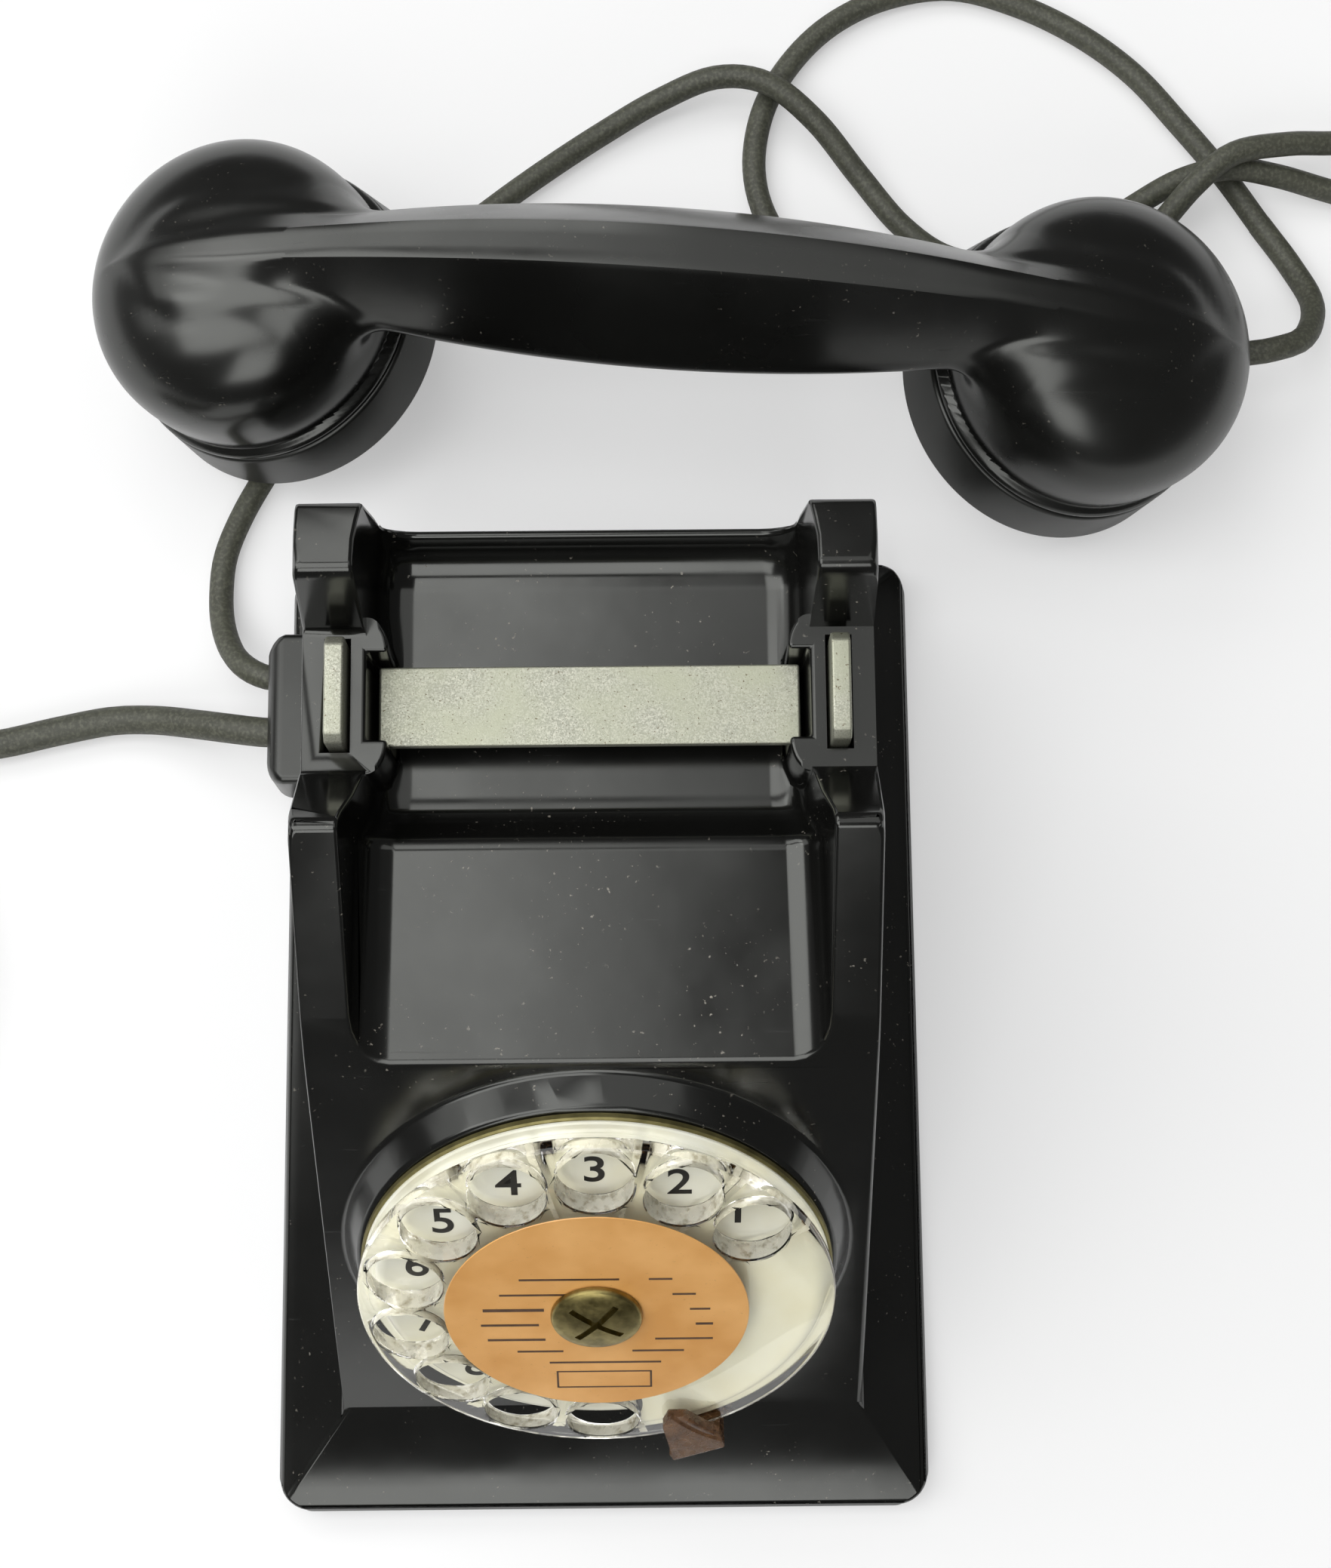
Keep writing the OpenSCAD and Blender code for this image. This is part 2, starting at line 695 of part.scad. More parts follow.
module clapper() {
    color(brass) {
        difference() {
            union() {
                translate([-armature_w / 2, armature_y - 1, bell_z - armature_h / 2])
                    cube([armature_w, armature_t, armature_h]);
                translate([0, pivot_y, bell_z - armature_h / 2]) cylinder(r = 2.6 * pivot_r, h = armature_h);
                translate([-rod_w / 2, pivot_y, bell_z - rod_w / 2]) cube([rod_w, gong_y - pivot_y, rod_w]);
            }
            translate([0, pivot_y, 0]) cylinder(r = pivot_r - pivot_gap + run_gap, h = 2 * bell_z, $fn = 24);
        }
        translate([0, gong_y, bell_z]) sphere(ball_r);
    }
}

module gong_posts() {
    color(steel) for (s = [-1, 1]) translate([s * gong_x, gong_y, floor_z + frame_t]) {
        cylinder(r = gong_post_r, h = gong_rim_z + gong_seat - floor_z - frame_t);
    }
}

module gong() {
    bend_r = gong_h * 0.7;
    bend_at = [gong_r - bend_r, gong_h - bend_r];
    translate([0, 0, gong_rim_z]) rotate_extrude($fn = 64) polygon(concat(
        [[gong_r, 0]], arc(bend_at, bend_r, 0, 80, 6), [[gong_bore_r, gong_h]],
        [[gong_bore_r, gong_h - gong_t]], arc(bend_at, bend_r - gong_t, 80, 0, 6), [[gong_r - gong_t, 0]]));
}

module gong_left() {
    color(brass) translate([-gong_x, gong_y, 0]) gong();
}

module gong_right() {
    color(brass) translate([gong_x, gong_y, 0]) gong();
}

module gong_screws() {
    top = gong_rim_z + gong_h;
    color(steel) for (s = [-1, 1]) translate([s * gong_x, gong_y, 0]) difference() {
        union() {
            translate([0, 0, top]) cylinder(r = gong_post_r + 1, h = gong_screw_h);
            translate([0, 0, gong_rim_z + gong_seat]) cylinder(r = gong_bore_r - 0.2, h = gong_screw_h);
        }
        translate([-gong_post_r - 2, -0.5, top + gong_screw_h / 2])
            cube([2 * gong_post_r + 4, 1, gong_screw_h]);
    }
}

// ---- Circuit parts ---------------------------------------------------------------------

parts_y = body_front_y + 30.3;
terminal_y = body_front_y + 10.3;
terminal_step = 8;
terminal_l = 12;

module induction_coil() {
    x = body_w / 2 - wall - 14;
    y0 = parts_y;
    l = 30;
    r = 8;
    color("#4b3323") {
        translate([x, y0, floor_z + r + 1]) rotate([-90, 0, 0]) cylinder(r = r - 1, h = l);
    }
    color("#2c2522") for (y = [y0, y0 + l - 2])
        translate([x - r, y, floor_z]) cube([2 * r, 2, 2 * r + 2]);
}

capacitor_w = 18;

module capacitor() {
    color("#8a8578") translate([-frame_w / 2 - 2 - capacitor_w, parts_y, floor_z])
        cube([capacitor_w, 32, 16]);
}

module terminal_block() {
    color("#3a2c20") difference() {
        translate([-2 * terminal_step, terminal_y - terminal_l / 2, floor_z])
            cube([4 * terminal_step, terminal_l, 7]);
        for (i = [0:3]) translate([terminal_step * (i - 1.5), terminal_y, floor_z + 2])
            cylinder(r = 1.5, h = 10, $fn = 24);
    }
}

module terminal_screws() {
    color(brass) for (i = [0:3]) translate([terminal_step * (i - 1.5), terminal_y, floor_z + 2.2]) {
        cylinder(r = 1.45, h = 4.8, $fn = 24);
        translate([0, 0, 4.8]) difference() {
            cylinder(r = 2.8, h = 1.6);
            translate([-4, -0.4, 0.8]) cube([8, 0.8, 1]);
        }
    }
}

// ---- Dial: fixed parts -----------------------------------------------------------------

case_t = 1.4;
case_lip = 5;
bridge_h = -5.5;
train_r = gear_module * (gear_teeth + pinion_teeth) / 2 + 0.1;
train_angle = 30;
case_floor = -case_d;

module on_train(h) {
    on_dial(h) rotate(train_angle) translate([train_r, 0, 0]) children();
}

module dial_ring() {
    color("#8a8052") on_dial(-ring_t) tube(ring_r, case_r - case_lip, ring_t);
}

// Enamelled plate with a raised, rounded face
module number_plate() {
    t = 1;
    r = ring_r - 0.5;
    color("#dededb") on_dial() rotate_extrude($fn = 96) polygon(concat(
        [[spindle_r + 2, plate_rise - t], [r - 3, plate_rise - t], [r - 1 - t, 0]],
        [[r, 0], [r, 0.8]],
        arc([r - 2.4, plate_rise - 2.4], 2.4, 0, 90, 5),
        [[spindle_r + 2, plate_rise]]));
}

module dial_case() {
    color(steel) difference() {
        on_dial(case_floor) cylinder(r = case_r, h = case_d - ring_t);
        on_dial(case_floor + case_t) cylinder(r = case_r - case_t, h = case_d);
        on_dial(case_floor - 1) cylinder(r = spindle_r + run_gap, h = 10);
        on_train(case_floor - 1) cylinder(r = 1 + run_gap, h = 10, $fn = 24);
    }
}

module case_bridge() {
    l = case_r - case_t - 0.1;
    color(steel) difference() {
        union() {
            intersection() {
                on_dial(bridge_h) translate([-l, -6, 0]) cube([2 * l, 12, case_t]);
                on_dial(bridge_h) cylinder(r = l, h = case_t);
            }
            intersection() {
                on_dial(bridge_h) rotate(train_angle) translate([0, -5, 0]) cube([l, 10, case_t]);
                on_dial(bridge_h) cylinder(r = l, h = case_t);
            }
        }
        on_dial(bridge_h - 1) cylinder(r = spindle_r + run_gap, h = 5);
        on_train(bridge_h - 1) cylinder(r = 1 + run_gap, h = 5, $fn = 24);
    }
}

module spring_drum() {
    color("#a9a9a2") on_dial(case_floor + case_t) tube(9.5, spindle_r + 0.4, 8);
}

module pulse_contacts() {
    color(brass) on_dial(case_floor + case_t) rotate(train_angle + 180) translate([20, 0, 0]) {
        translate([-3, -7, 0]) cube([6, 14, 6]);
        for (i = [-1, 1]) translate([i * 1.6 - 0.3, -12, 2]) cube([0.6, 24, 3]);
    }
}

stop_w = 10;
stop_t = 2;
stop_foot = 4;

// A claw that rises outside the wheel's rim and reaches in over it
module finger_stop() {
    claw_z = wheel_z + wheel_t + wheel_rise * 0.72 + 0.4;
    out = wheel_r + 0.5;
    color("#5a4433") on_dial() rotate(stop_angle) {
        translate([out, -stop_w / 2, -stop_foot]) cube([stop_t + 0.2, stop_w, claw_z + stop_t + stop_foot]);
        translate([0, 0, claw_z]) linear_extrude(stop_t) polygon([
            [out + stop_t, -stop_w / 2], [out + stop_t, stop_w / 2], [wheel_r - 1, stop_w / 2 + 0.5],
            [hole_circle_r - 1, 2.2], [hole_circle_r - 2.2, -0.5], [hole_circle_r, -2.6],
            [wheel_r - 2, -stop_w / 2 + 1]]);
    }
}

// ---- Dial: turning parts ---------------------------------------------------------------

wheel_z = plate_rise + 0.4;
wheel_mid_z = wheel_z + wheel_t + wheel_rise;

module finger_wheel() {
    mid_r = label_r + 0.3;
    top = wheel_z + wheel_t;
    color("#e8e4cf", 0.5) on_dial() difference() {
        rotate_extrude($fn = 96) polygon([
            [spindle_r + 0.02, wheel_z + 0.6], [mid_r - 3, wheel_z + 0.6], [wheel_r - 0.8, wheel_z],
            [wheel_r, wheel_z + 0.5], [wheel_r, top - 0.6], [wheel_r - 0.6, top],
            [mid_r, wheel_mid_z], [mid_r - 0.3, wheel_mid_z], [spindle_r + 0.02, wheel_mid_z]]);
        for (i = [0:9]) rotate(hole_start + i * hole_step) translate([hole_circle_r, 0, 0])
            cylinder(r = hole_r, h = 20);
    }
}

module dial_label() {
    color("#e0a963") on_dial(wheel_mid_z) tube(label_r, spindle_r + 1, 0.25);
}

module centre_screw() {
    color(brass) on_dial(wheel_mid_z + 0.25) difference() {
        rotate_extrude() polygon(concat([[0, 0], [screw_r, 0]],
            arc([screw_r - 1.2, 0.6], 1.2, 0, 70, 4), [[screw_r * 0.5, 2.3], [0, 2.5]]));
        translate([-screw_r, -0.5, 1.3]) cube([2 * screw_r, 1, 3]);
    }
}

module dial_spindle() {
    color(steel) {
        on_dial(case_floor - 1) cylinder(r = spindle_r, h = wheel_mid_z + 0.25 + 1 - case_floor);
    }
}

// A toothed disc with straight-flanked teeth and a clear fit in its mate
module gear_2d(teeth, m) {
    pitch_r = m * teeth / 2;
    root = pitch_r - 1.3 * m;
    tip = pitch_r + 0.9 * m;
    step = 360 / teeth;
    polygon([for (i = [0:teeth - 1]) let (a = i * step) each [
        [root * cos(a - step * 0.27), root * sin(a - step * 0.27)],
        [tip * cos(a - step * 0.11), tip * sin(a - step * 0.11)],
        [tip * cos(a + step * 0.11), tip * sin(a + step * 0.11)],
        [root * cos(a + step * 0.27), root * sin(a + step * 0.27)]]]);
}

gear_h = -10;

module main_gear() {
    color(brass) on_dial(gear_h) rotate(train_angle) linear_extrude(1.5) difference() {
        gear_2d(gear_teeth, gear_module);
        circle(spindle_r + 0.01);
    }
}

worm_h = case_floor + 9;
worm_r = 2;
worm_wheel_r = 7;
worm_gap = 0.3;
governor_x = train_r + worm_wheel_r + worm_r + worm_gap;
governor_y0 = -15.5;
governor_l = 26;

module pinion_shaft() {
    color(steel) {
        on_train(gear_h - 0.5) rotate(180 + 180 / pinion_teeth) linear_extrude(2.5)
            gear_2d(pinion_teeth, gear_module);
        on_train(case_floor + 0.1) cylinder(r = 1, h = bridge_h + case_t - case_floor - 0.2, $fn = 24);
    }
}

module worm_wheel() {
    color(brass) on_train(worm_h - 1) linear_extrude(2) difference() {
        gear_2d(20, 2 * worm_wheel_r / 22);
        circle(1.01, $fn = 24);
    }
}

// Governor shaft frame: Z along the shaft, across the train's arm
module on_governor(along) {
    on_dial(worm_h) rotate(train_angle) translate([governor_x, along, 0])
        rotate([-90, 0, 0]) children();
}

module governor_shaft() {
    color(steel) {
        on_governor(governor_y0) cylinder(r = 0.9, h = governor_l, $fn = 24);
        on_governor(-4) cylinder(r = worm_r, h = 8);
        on_governor(-11) cylinder(r = 4, h = 5);
    }
}

module governor_bracket() {
    reach = worm_h - case_floor - case_t;
    color("#7d7f80") difference() {
        for (a = [governor_y0, governor_y0 + governor_l - 1.5]) on_dial(case_floor + case_t)
            rotate(train_angle) translate([governor_x - 2.5, a, 0]) cube([5, 1.5, reach + 3]);
        on_governor(-30) cylinder(r = 0.9 + run_gap, h = 50, $fn = 24);
    }
}

// ---- Handset ---------------------------------------------------------------------------

handset_x = 14.7;
handset_y = 135;
handset_turn = -4.6;
cap_edge = 0.4;
face_z0 = (cap_r - cap_edge) * sin(capsule_tilt);
half_span = dome_span / 2;
face_x = half_span - dome_up * sin(capsule_tilt);
dome_z = face_z0 + dome_up * cos(capsule_tilt);
crown_x = face_x + (dome_up + dome_h) * sin(capsule_tilt);
crown_z = face_z0 + (dome_up + dome_h) * cos(capsule_tilt);
tip_x = half_span + dome_r - 5;

module on_handset() {
    translate([handset_x, handset_y, 0]) rotate(handset_turn) children();
}

// Places children with Z up from the middle of a cap's face; side is -1 for the ear end
module on_capsule(side, h = 0) {
    translate([side * face_x, 0, face_z0]) rotate([0, side * capsule_tilt, 0])
        translate([0, 0, h]) children();
}

ridge_fall = (ridge_z - crown_z - ridge_proud) / pow(crown_x, 2);
tip_dip = 4.4;

function eased(a, b, v) = let (t = min(1, max(0, (v - a) / (b - a)))) t * t * (3 - 2 * t);
function ridge_h(s) = ridge_z - ridge_fall * s * s
    - tip_dip * pow(max(0, (abs(s) - crown_x) / (tip_x - crown_x)), 3);
function flat_w(s) = ridge_w / 2 * pow(max(0.002, 1 - pow(s / tip_x, 2)), 0.6);
function grip_w(s) = handle_w / 2 * (1 - pow(s / (tip_x + 2), 2)) + 5 * eased(60, 95, abs(s)) * eased(tip_x + 1, 94, abs(s));
function under_z(s) = max(dome_z + 2, handle_z - 2.7 - 0.04 * pow(max(0, abs(s) - 50), 2));

// Depth of the widest line below the ridge; it rises onto the domes
function flank_h(s, run) =
    let (e = eased(58, 85, abs(s))) (1 - e) * (ridge_h(s) - handle_z) + e * 0.42 * run;

// One section of the handle at s along it
function grip_section(s) =
    let (t = ridge_h(s), a = flat_w(s), b = max(grip_w(s), a + 0.4), e = eased(58, 85, abs(s)),
        w = t - flank_h(s, b - a), u = min(under_z(s), w - 1), m = t - (0.51 + 0.17 * e) * (t - w))
    [[s, -a, t], [s, -a - (b - a) * 0.68, m], [s, -b, w], [s, -b + 0.3, (w + u) / 2],
     [s, -b * 0.7, u], [s, b * 0.7, u], [s, b - 0.3, (w + u) / 2], [s, b, w],
     [s, a + (b - a) * 0.68, m], [s, a, t]];

module handle() {
    n = 14;
    loft([for (i = [-n:n]) grip_section(i / n * (tip_x - 0.3))]);
}

// A dome's outline is flatter over its crown than a sphere's
dome_power = 2.6;
dome_cut = cap_h + 0.2;

function dome_rad(up) =
    dome_r * pow(1 - pow(abs(up - dome_up) / dome_h, dome_power), 1 / dome_power);
function dome_point(a) =
    [dome_r * pow(cos(a), 2 / dome_power), dome_up + dome_h * pow(sin(a), 2 / dome_power)];

// Turned solid of one dome, from the plane of its cap to its crown
module dome() {
    low = (dome_cut + dome_up) / 2;
    rotate_extrude($fn = 72) polygon(concat(
        [[0, dome_cut], [dome_rad(dome_cut), dome_cut], [dome_rad(low), low]],
        [for (a = [0:7.5:82.5]) dome_point(a)], [[0, dome_up + dome_h]]));
}

neck_r = cap_r - 4.4;
unit_r = 23.5;
bead_r = 1.3;

module handset_shell() {
    color(bakelite) on_handset() difference() {
        union() {
            handle();
            for (side = [-1, 1]) {
                on_capsule(side) dome();
                on_capsule(side, dome_cut + bead_r)
                    rotate_extrude() translate([dome_r - 0.4, 0]) circle(bead_r, $fn = 16);
                on_capsule(side, cap_h - 5) cylinder(r = neck_r, h = 8);
            }
        }
        for (side = [-1, 1]) on_capsule(side, -1) cylinder(r = unit_r + 0.3, h = cap_h + 9);
        sleeve_seat();
    }
}

module cap(side) {
    color(bakelite) on_handset() on_capsule(side) difference() {
        rotate_extrude($fn = 96) polygon([
            [0, 2], [cap_r - 7, 0.6], [cap_r - 4, 0], [cap_r - cap_edge, 0], [cap_r, cap_edge],
            [cap_r - 0.9, cap_h], [neck_r + 0.3, cap_h], [neck_r + 0.3, cap_h - 5.5],
            [unit_r + 1, cap_h - 5.5], [unit_r + 1, 5], [0, 5]]);
        children();
    }
}

module ear_cap() {
    cap(-1) {
        for (i = [0:5]) rotate(60 * i) translate([7, 0, -1]) cylinder(r = 1.3, h = 8, $fn = 24);
        translate([0, 0, -1]) cylinder(r = 1.3, h = 8, $fn = 24);
    }
}

module mouth_cap() {
    cap(1) {
        for (k = [1:2], i = [0:6 * k - 1]) rotate(60 / k * i) translate([6.5 * k, 0, -1])
            cylinder(r = 1.1, h = 8, $fn = 24);
        translate([0, 0, -1]) cylinder(r = 1.1, h = 8, $fn = 24);
    }
}

module receiver() {
    color("#9c9c98") on_handset() on_capsule(-1, 5.2) {
        cylinder(r = unit_r, h = 4);
        cylinder(r = unit_r - 6, h = cap_h + 2.6);
    }
}

module microphone() {
    color("#b0aca0") on_handset() on_capsule(1, 5.2) {
        cylinder(r1 = unit_r, r2 = unit_r - 1, h = 6);
        cylinder(r = unit_r - 8, h = cap_h + 2.6);
    }
}

sleeve_z = 16.5;
sleeve_in = 24;
sleeve_l = 9;
sleeve_turn = 13.6;

// The mouth end's cord entry, level, pointing away from the handle
module on_sleeve() {
    on_handset() translate([half_span, 0, sleeve_z]) rotate(sleeve_turn) rotate([0, 90, 0]) children();
}

module sleeve_seat() {
    translate([half_span, 0, sleeve_z]) rotate(sleeve_turn) rotate([0, 90, 0])
        translate([0, 0, sleeve_in - 0.2]) cylinder(r = handset_cord_d / 2 + 1, h = 15);
}

module handset_sleeve() {
    color("#54493a") on_sleeve() translate([0, 0, sleeve_in])
        cylinder(r1 = handset_cord_d / 2 + 0.9, r2 = handset_cord_d / 2 + 0.5, h = sleeve_l);
}

// ---- Cords -----------------------------------------------------------------------------

// The handset cord leaves the gland, dips under the ear cap, rises over itself in an arch, goes
// under the mouth cap, loops beyond it, comes back and ends in the handset's sleeve
handset_cord_table = [
    [-76.5, 81.5, 5],
    [-77.3, 89, 3], [-76.5, 97, 2.6], [-73, 106, 2.6], [-67.5, 116, 2.6], [-61, 127, 2.6],
    [-53, 139, 2.6],
    [-44, 151, 2.6], [-34, 162, 2.6], [-22, 172, 2.6], [-10, 181, 2.6], [2, 189, 3], [13, 195, 4.6],
    [25, 199, 7], [36, 197, 8.2], [46, 189, 6.8], [55, 178, 4], [64, 167, 2.8], [74, 160, 2.6],
    [87, 159, 2.6], [101, 163, 3], [112, 170, 5], [122, 175, 7.4], [132, 177, 8.4],
    [142, 176, 7], [153, 174, 4], [165, 171, 2.6], [178, 168, 2.6], [191, 167, 2.6],
    [203, 171, 2.6], [209, 180, 2.6], [205, 190, 2.6], [194, 194, 2.6], [182, 192, 2.6],
    [169, 187, 4], [156, 183, 7.6], [144, 181, 11.6], [132, 178, 13.8], [124, 172, 12],
    [117, 165, 7], [108, 157, 3.2], [97, 151, 2.6], [84, 148, 2.6], [70, 148, 2.6], [56, 151, 2.6],
    [44, 158, 2.6], [36, 168, 2.6], [33, 180, 2.6], [35, 193, 2.6], [41, 204, 2.6], [50, 213, 2.6],
    [62, 219, 2.6], [76, 221, 2.6], [90, 217, 2.6], [103, 210, 2.6], [114, 201, 2.6],
    [123, 190, 2.6], [132, 178, 2.6], [139, 167, 2.6], [145, 157, 3.6], [148, 147, 7.6],
    [144.5, 138, 13.4], [137.4, 134.3, 16.5], [131.5, 133.4, 16.5],
];

handset_cord_route = concat([
    for (p = [[3.7, 0, 0], [-1, 0.4, -0.1], [-5.5, 2.8, -1.7], [-9, 7, -5.1]])
        [-gland_out, handset_exit_y, exit_z] + p], handset_cord_table);

// The line cord leaves the gland and lies along the table to the outside of its coil
line_cord_table = [
    [-90, 61.8, 5],
    [-99, 62, 3.4], [-110, 60, 3.1], [-122, 57.4, 3.1], [-134, 56.6, 3.1], [-146, 57, 3.2],
    [-158, 57.2, 3.6], [-170, 57.2, 3.9],
];
line_cord_route = concat([
    for (p = [[3.7, 0, 0], [-2, 0.3, -0.2], [-9, 1.5, -1.7], [-17, 3.3, -5.3]])
        [-gland_out, line_exit_y, exit_z] + p], line_cord_table);
tail_route = [
    [-200, -32.5, 9.6], [-192.5, -37.5, 8.8], [-185, -42.5, 7], [-177.5, -47.5, 6], [-170, -52.5, 6],
];

coil_at = [-172, 8, 0.8];
coil_mid_r = 34;
coil_columns = 4;
coil_layers = 2;

module handset_cord() {
    color("#55564b") run(handset_cord_route, handset_cord_d / 2);
}

module line_cord() {
    color("#55564b") {
        run(line_cord_route, line_cord_d / 2);
        run(tail_route, line_cord_d / 2);
    }
}

// The wound part of the line cord, as the outer shape of its turns
module cord_coil() {
    w = coil_columns * line_cord_d;
    h = coil_layers * line_cord_d;
    color("#55564b") translate(coil_at) rotate_extrude($fn = 72)
        translate([coil_mid_r - w / 2, 0]) hull() {
            for (x = [2, w - 2], z = [2, h - 2]) translate([x, z]) circle(2, $fn = 16);
        }
}

tie_gap = 0.3;

module cord_tie() {
    w = coil_columns * line_cord_d;
    h = coil_layers * line_cord_d;
    t = tie_gap + 0.4;
    color("#2b2b2b") translate(coil_at) rotate(150) translate([0, 3, 0]) rotate([90, 0, 0])
        linear_extrude(6) difference() {
            translate([coil_mid_r - w / 2 - t, -t]) square([w + 2 * t, h + 2 * t]);
            translate([coil_mid_r - w / 2 - tie_gap, -tie_gap]) square([w + 2 * tie_gap, h + 2 * tie_gap]);
        }
}

plug_l = 28;
plug_w = 20;
plug_h = 12;
plug_x = -175;
plug_y = -49.2;
pin_l = 11;

module on_plug() {
    translate([plug_x, plug_y, 0]) rotate(-33.7) children();
}

module line_plug() {
    color("#1b1b1c") on_plug() difference() {
        union() {
            hull() {
                translate([0, -5, 0]) cube([2, 10, plug_h]);
                translate([12, -plug_w / 2, 0]) cube([plug_l - 12, plug_w, plug_h]);
            }
            for (i = [0:3]) translate([13 + 3 * i, -plug_w / 2 - 0.6, 1]) cube([1.4, plug_w + 1.2, plug_h - 2]);
        }
        translate([-1, 0, plug_h / 2]) rotate([0, 90, 0]) cylinder(r = line_cord_d / 2 + 0.1, h = 1 + 6.2);
    }
}

module plug_pins() {
    color(brass) on_plug() for (p = [[-6, 4], [6, 4], [0, 8.5]])
        translate([plug_l, p[0], p[1]]) rotate([0, 90, 0]) cylinder(r = 1.6, h = pin_l, $fn = 24);
}

housing();
base_plate();
feet();
base_screws();
cord_gland();
hook_lever();
hook_bracket();
bracket_screws();
hook_springs();
contact_stack();
contact_blades();
bell_frame();
bell_yoke();
bell_coils();
bell_magnet();
bell_pivot();
clapper();
gong_posts();
gong_left();
gong_right();
gong_screws();
induction_coil();
capacitor();
terminal_block();
terminal_screws();
dial_ring();
number_plate();
dial_case();
case_bridge();
spring_drum();
pulse_contacts();
finger_stop();
finger_wheel();
dial_label();
centre_screw();
dial_spindle();
main_gear();
pinion_shaft();
worm_wheel();
governor_shaft();
governor_bracket();
handset_shell();
ear_cap();
mouth_cap();
receiver();
microphone();
handset_sleeve();
handset_cord();
line_cord();
cord_coil();
cord_tie();
line_plug();
plug_pins();
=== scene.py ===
"""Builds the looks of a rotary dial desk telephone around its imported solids."""

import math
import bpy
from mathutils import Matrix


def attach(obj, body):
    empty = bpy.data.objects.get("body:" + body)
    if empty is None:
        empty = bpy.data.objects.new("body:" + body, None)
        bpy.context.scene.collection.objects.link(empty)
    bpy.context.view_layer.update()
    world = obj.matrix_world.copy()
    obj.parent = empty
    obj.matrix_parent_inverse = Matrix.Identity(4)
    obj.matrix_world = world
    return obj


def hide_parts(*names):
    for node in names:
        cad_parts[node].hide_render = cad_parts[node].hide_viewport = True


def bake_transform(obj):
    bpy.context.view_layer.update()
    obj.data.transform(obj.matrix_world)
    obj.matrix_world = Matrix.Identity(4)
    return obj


bl_info = {
    "name": "Rotary Dial Telephone",
    "version": (1, 0, 0),
    "blender": (4, 5, 0),
    "location": "View3D > Sidebar > Telephone",
    "description": "Dresses the telephone's solids with detailed pieces and procedural materials",
    "category": "Object",
}

import bmesh
import bpy
import numpy as np
from mathutils import Matrix, Vector
from mathutils.bvhtree import BVHTree
from mathutils.kdtree import KDTree

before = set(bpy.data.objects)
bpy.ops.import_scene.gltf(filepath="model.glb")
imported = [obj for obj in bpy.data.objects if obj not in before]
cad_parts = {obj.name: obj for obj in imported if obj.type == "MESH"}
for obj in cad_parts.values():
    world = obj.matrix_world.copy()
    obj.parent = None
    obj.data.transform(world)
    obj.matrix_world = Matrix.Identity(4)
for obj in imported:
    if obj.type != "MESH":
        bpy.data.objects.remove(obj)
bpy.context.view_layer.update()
MM = 0.001


# ---- Camera ----------------------------------------------------------------

# Focal length and frame height in pixels, place and sensor height in mm.
FRAME_H_PX = 2078
FOCAL_PX = 3598.6
SENSOR_H = 24
CAMERA_AT = Vector((10.33, -56.86, 540.27))
CAMERA_YAW = math.radians(1.47)
CAMERA_DOWN = math.radians(78.94)
CAMERA_ROLL = math.radians(0.93)


def camera_matrix():
    """The camera's place and turn, looking down on the telephone from over its dial."""
    sa, ca = math.sin(CAMERA_YAW), math.cos(CAMERA_YAW)
    se, ce = math.sin(CAMERA_DOWN), math.cos(CAMERA_DOWN)
    forward = Vector((sa * ce, ca * ce, -se))
    up = Vector((sa * se, ca * se, ce))
    right = forward.cross(up)
    cr, sr = math.cos(CAMERA_ROLL), math.sin(CAMERA_ROLL)
    x, y = right * cr + up * sr, up * cr - right * sr
    turn = Matrix((x, y, -forward)).transposed().to_4x4()
    return Matrix.Translation(CAMERA_AT * MM) @ turn


# ---- Meshes ----------------------------------------------------------------


def linked(name, data):
    """A new object in the scene, with its data."""
    obj = bpy.data.objects.new(name, data)
    bpy.context.scene.collection.objects.link(obj)
    return obj


def piece(name, verts, faces, finish, body):
    """A mesh piece from points in millimetres, with its finish, on its body."""
    mesh = bpy.data.meshes.new(name)
    mesh.from_pydata([Vector(v) * MM for v in verts], [], faces)
    mesh.validate()
    return finished(linked(name, mesh), finish, body, 0)


def finished(obj, finish, body, smooth=35):
    """Smooth shading up to an angle, one finish, and the body that the piece moves with."""
    obj.data.materials.clear()
    obj.data.materials.append(finish_of(finish))
    if smooth:
        obj.data.shade_smooth()
        obj.data.set_sharp_from_angle(angle=math.radians(smooth))
    if body:
        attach(obj, body)
    return obj


def outward(obj, merge=0.001, flat=None):
    """Merges points closer than a distance in mm, joins faces that meet within the angle flat, and
    turns every face outwards."""
    bm = bmesh.new()
    bm.from_mesh(obj.data)
    bmesh.ops.remove_doubles(bm, verts=bm.verts, dist=merge * MM)
    if flat:
        bmesh.ops.dissolve_limit(bm, angle_limit=math.radians(flat), verts=bm.verts, edges=bm.edges)
    bmesh.ops.recalc_face_normals(bm, faces=bm.faces)
    bm.to_mesh(obj.data)
    bm.free()
    return obj


def seated(obj, place, finish, body, smooth=35):
    """Moves a mesh, made about the origin, to its place in millimetres and finishes it."""
    place = place.copy()
    place.translation *= MM
    obj.data.transform(place)
    return finished(outward(obj), finish, body, smooth)


def evaluated(obj):
    """A new mesh of the object as its modifiers make it."""
    bpy.context.view_layer.update()
    graph = bpy.context.evaluated_depsgraph_get()
    return bpy.data.meshes.new_from_object(obj.evaluated_get(graph))


def baked(obj):
    """Applies the object's modifiers to its mesh."""
    mesh, old = evaluated(obj), obj.data
    obj.modifiers.clear()
    obj.data = mesh
    mesh.name = obj.name
    bpy.data.meshes.remove(old)
    return obj


BEVEL_ROUNDS = 6
STRAY_SHARE = 0.75


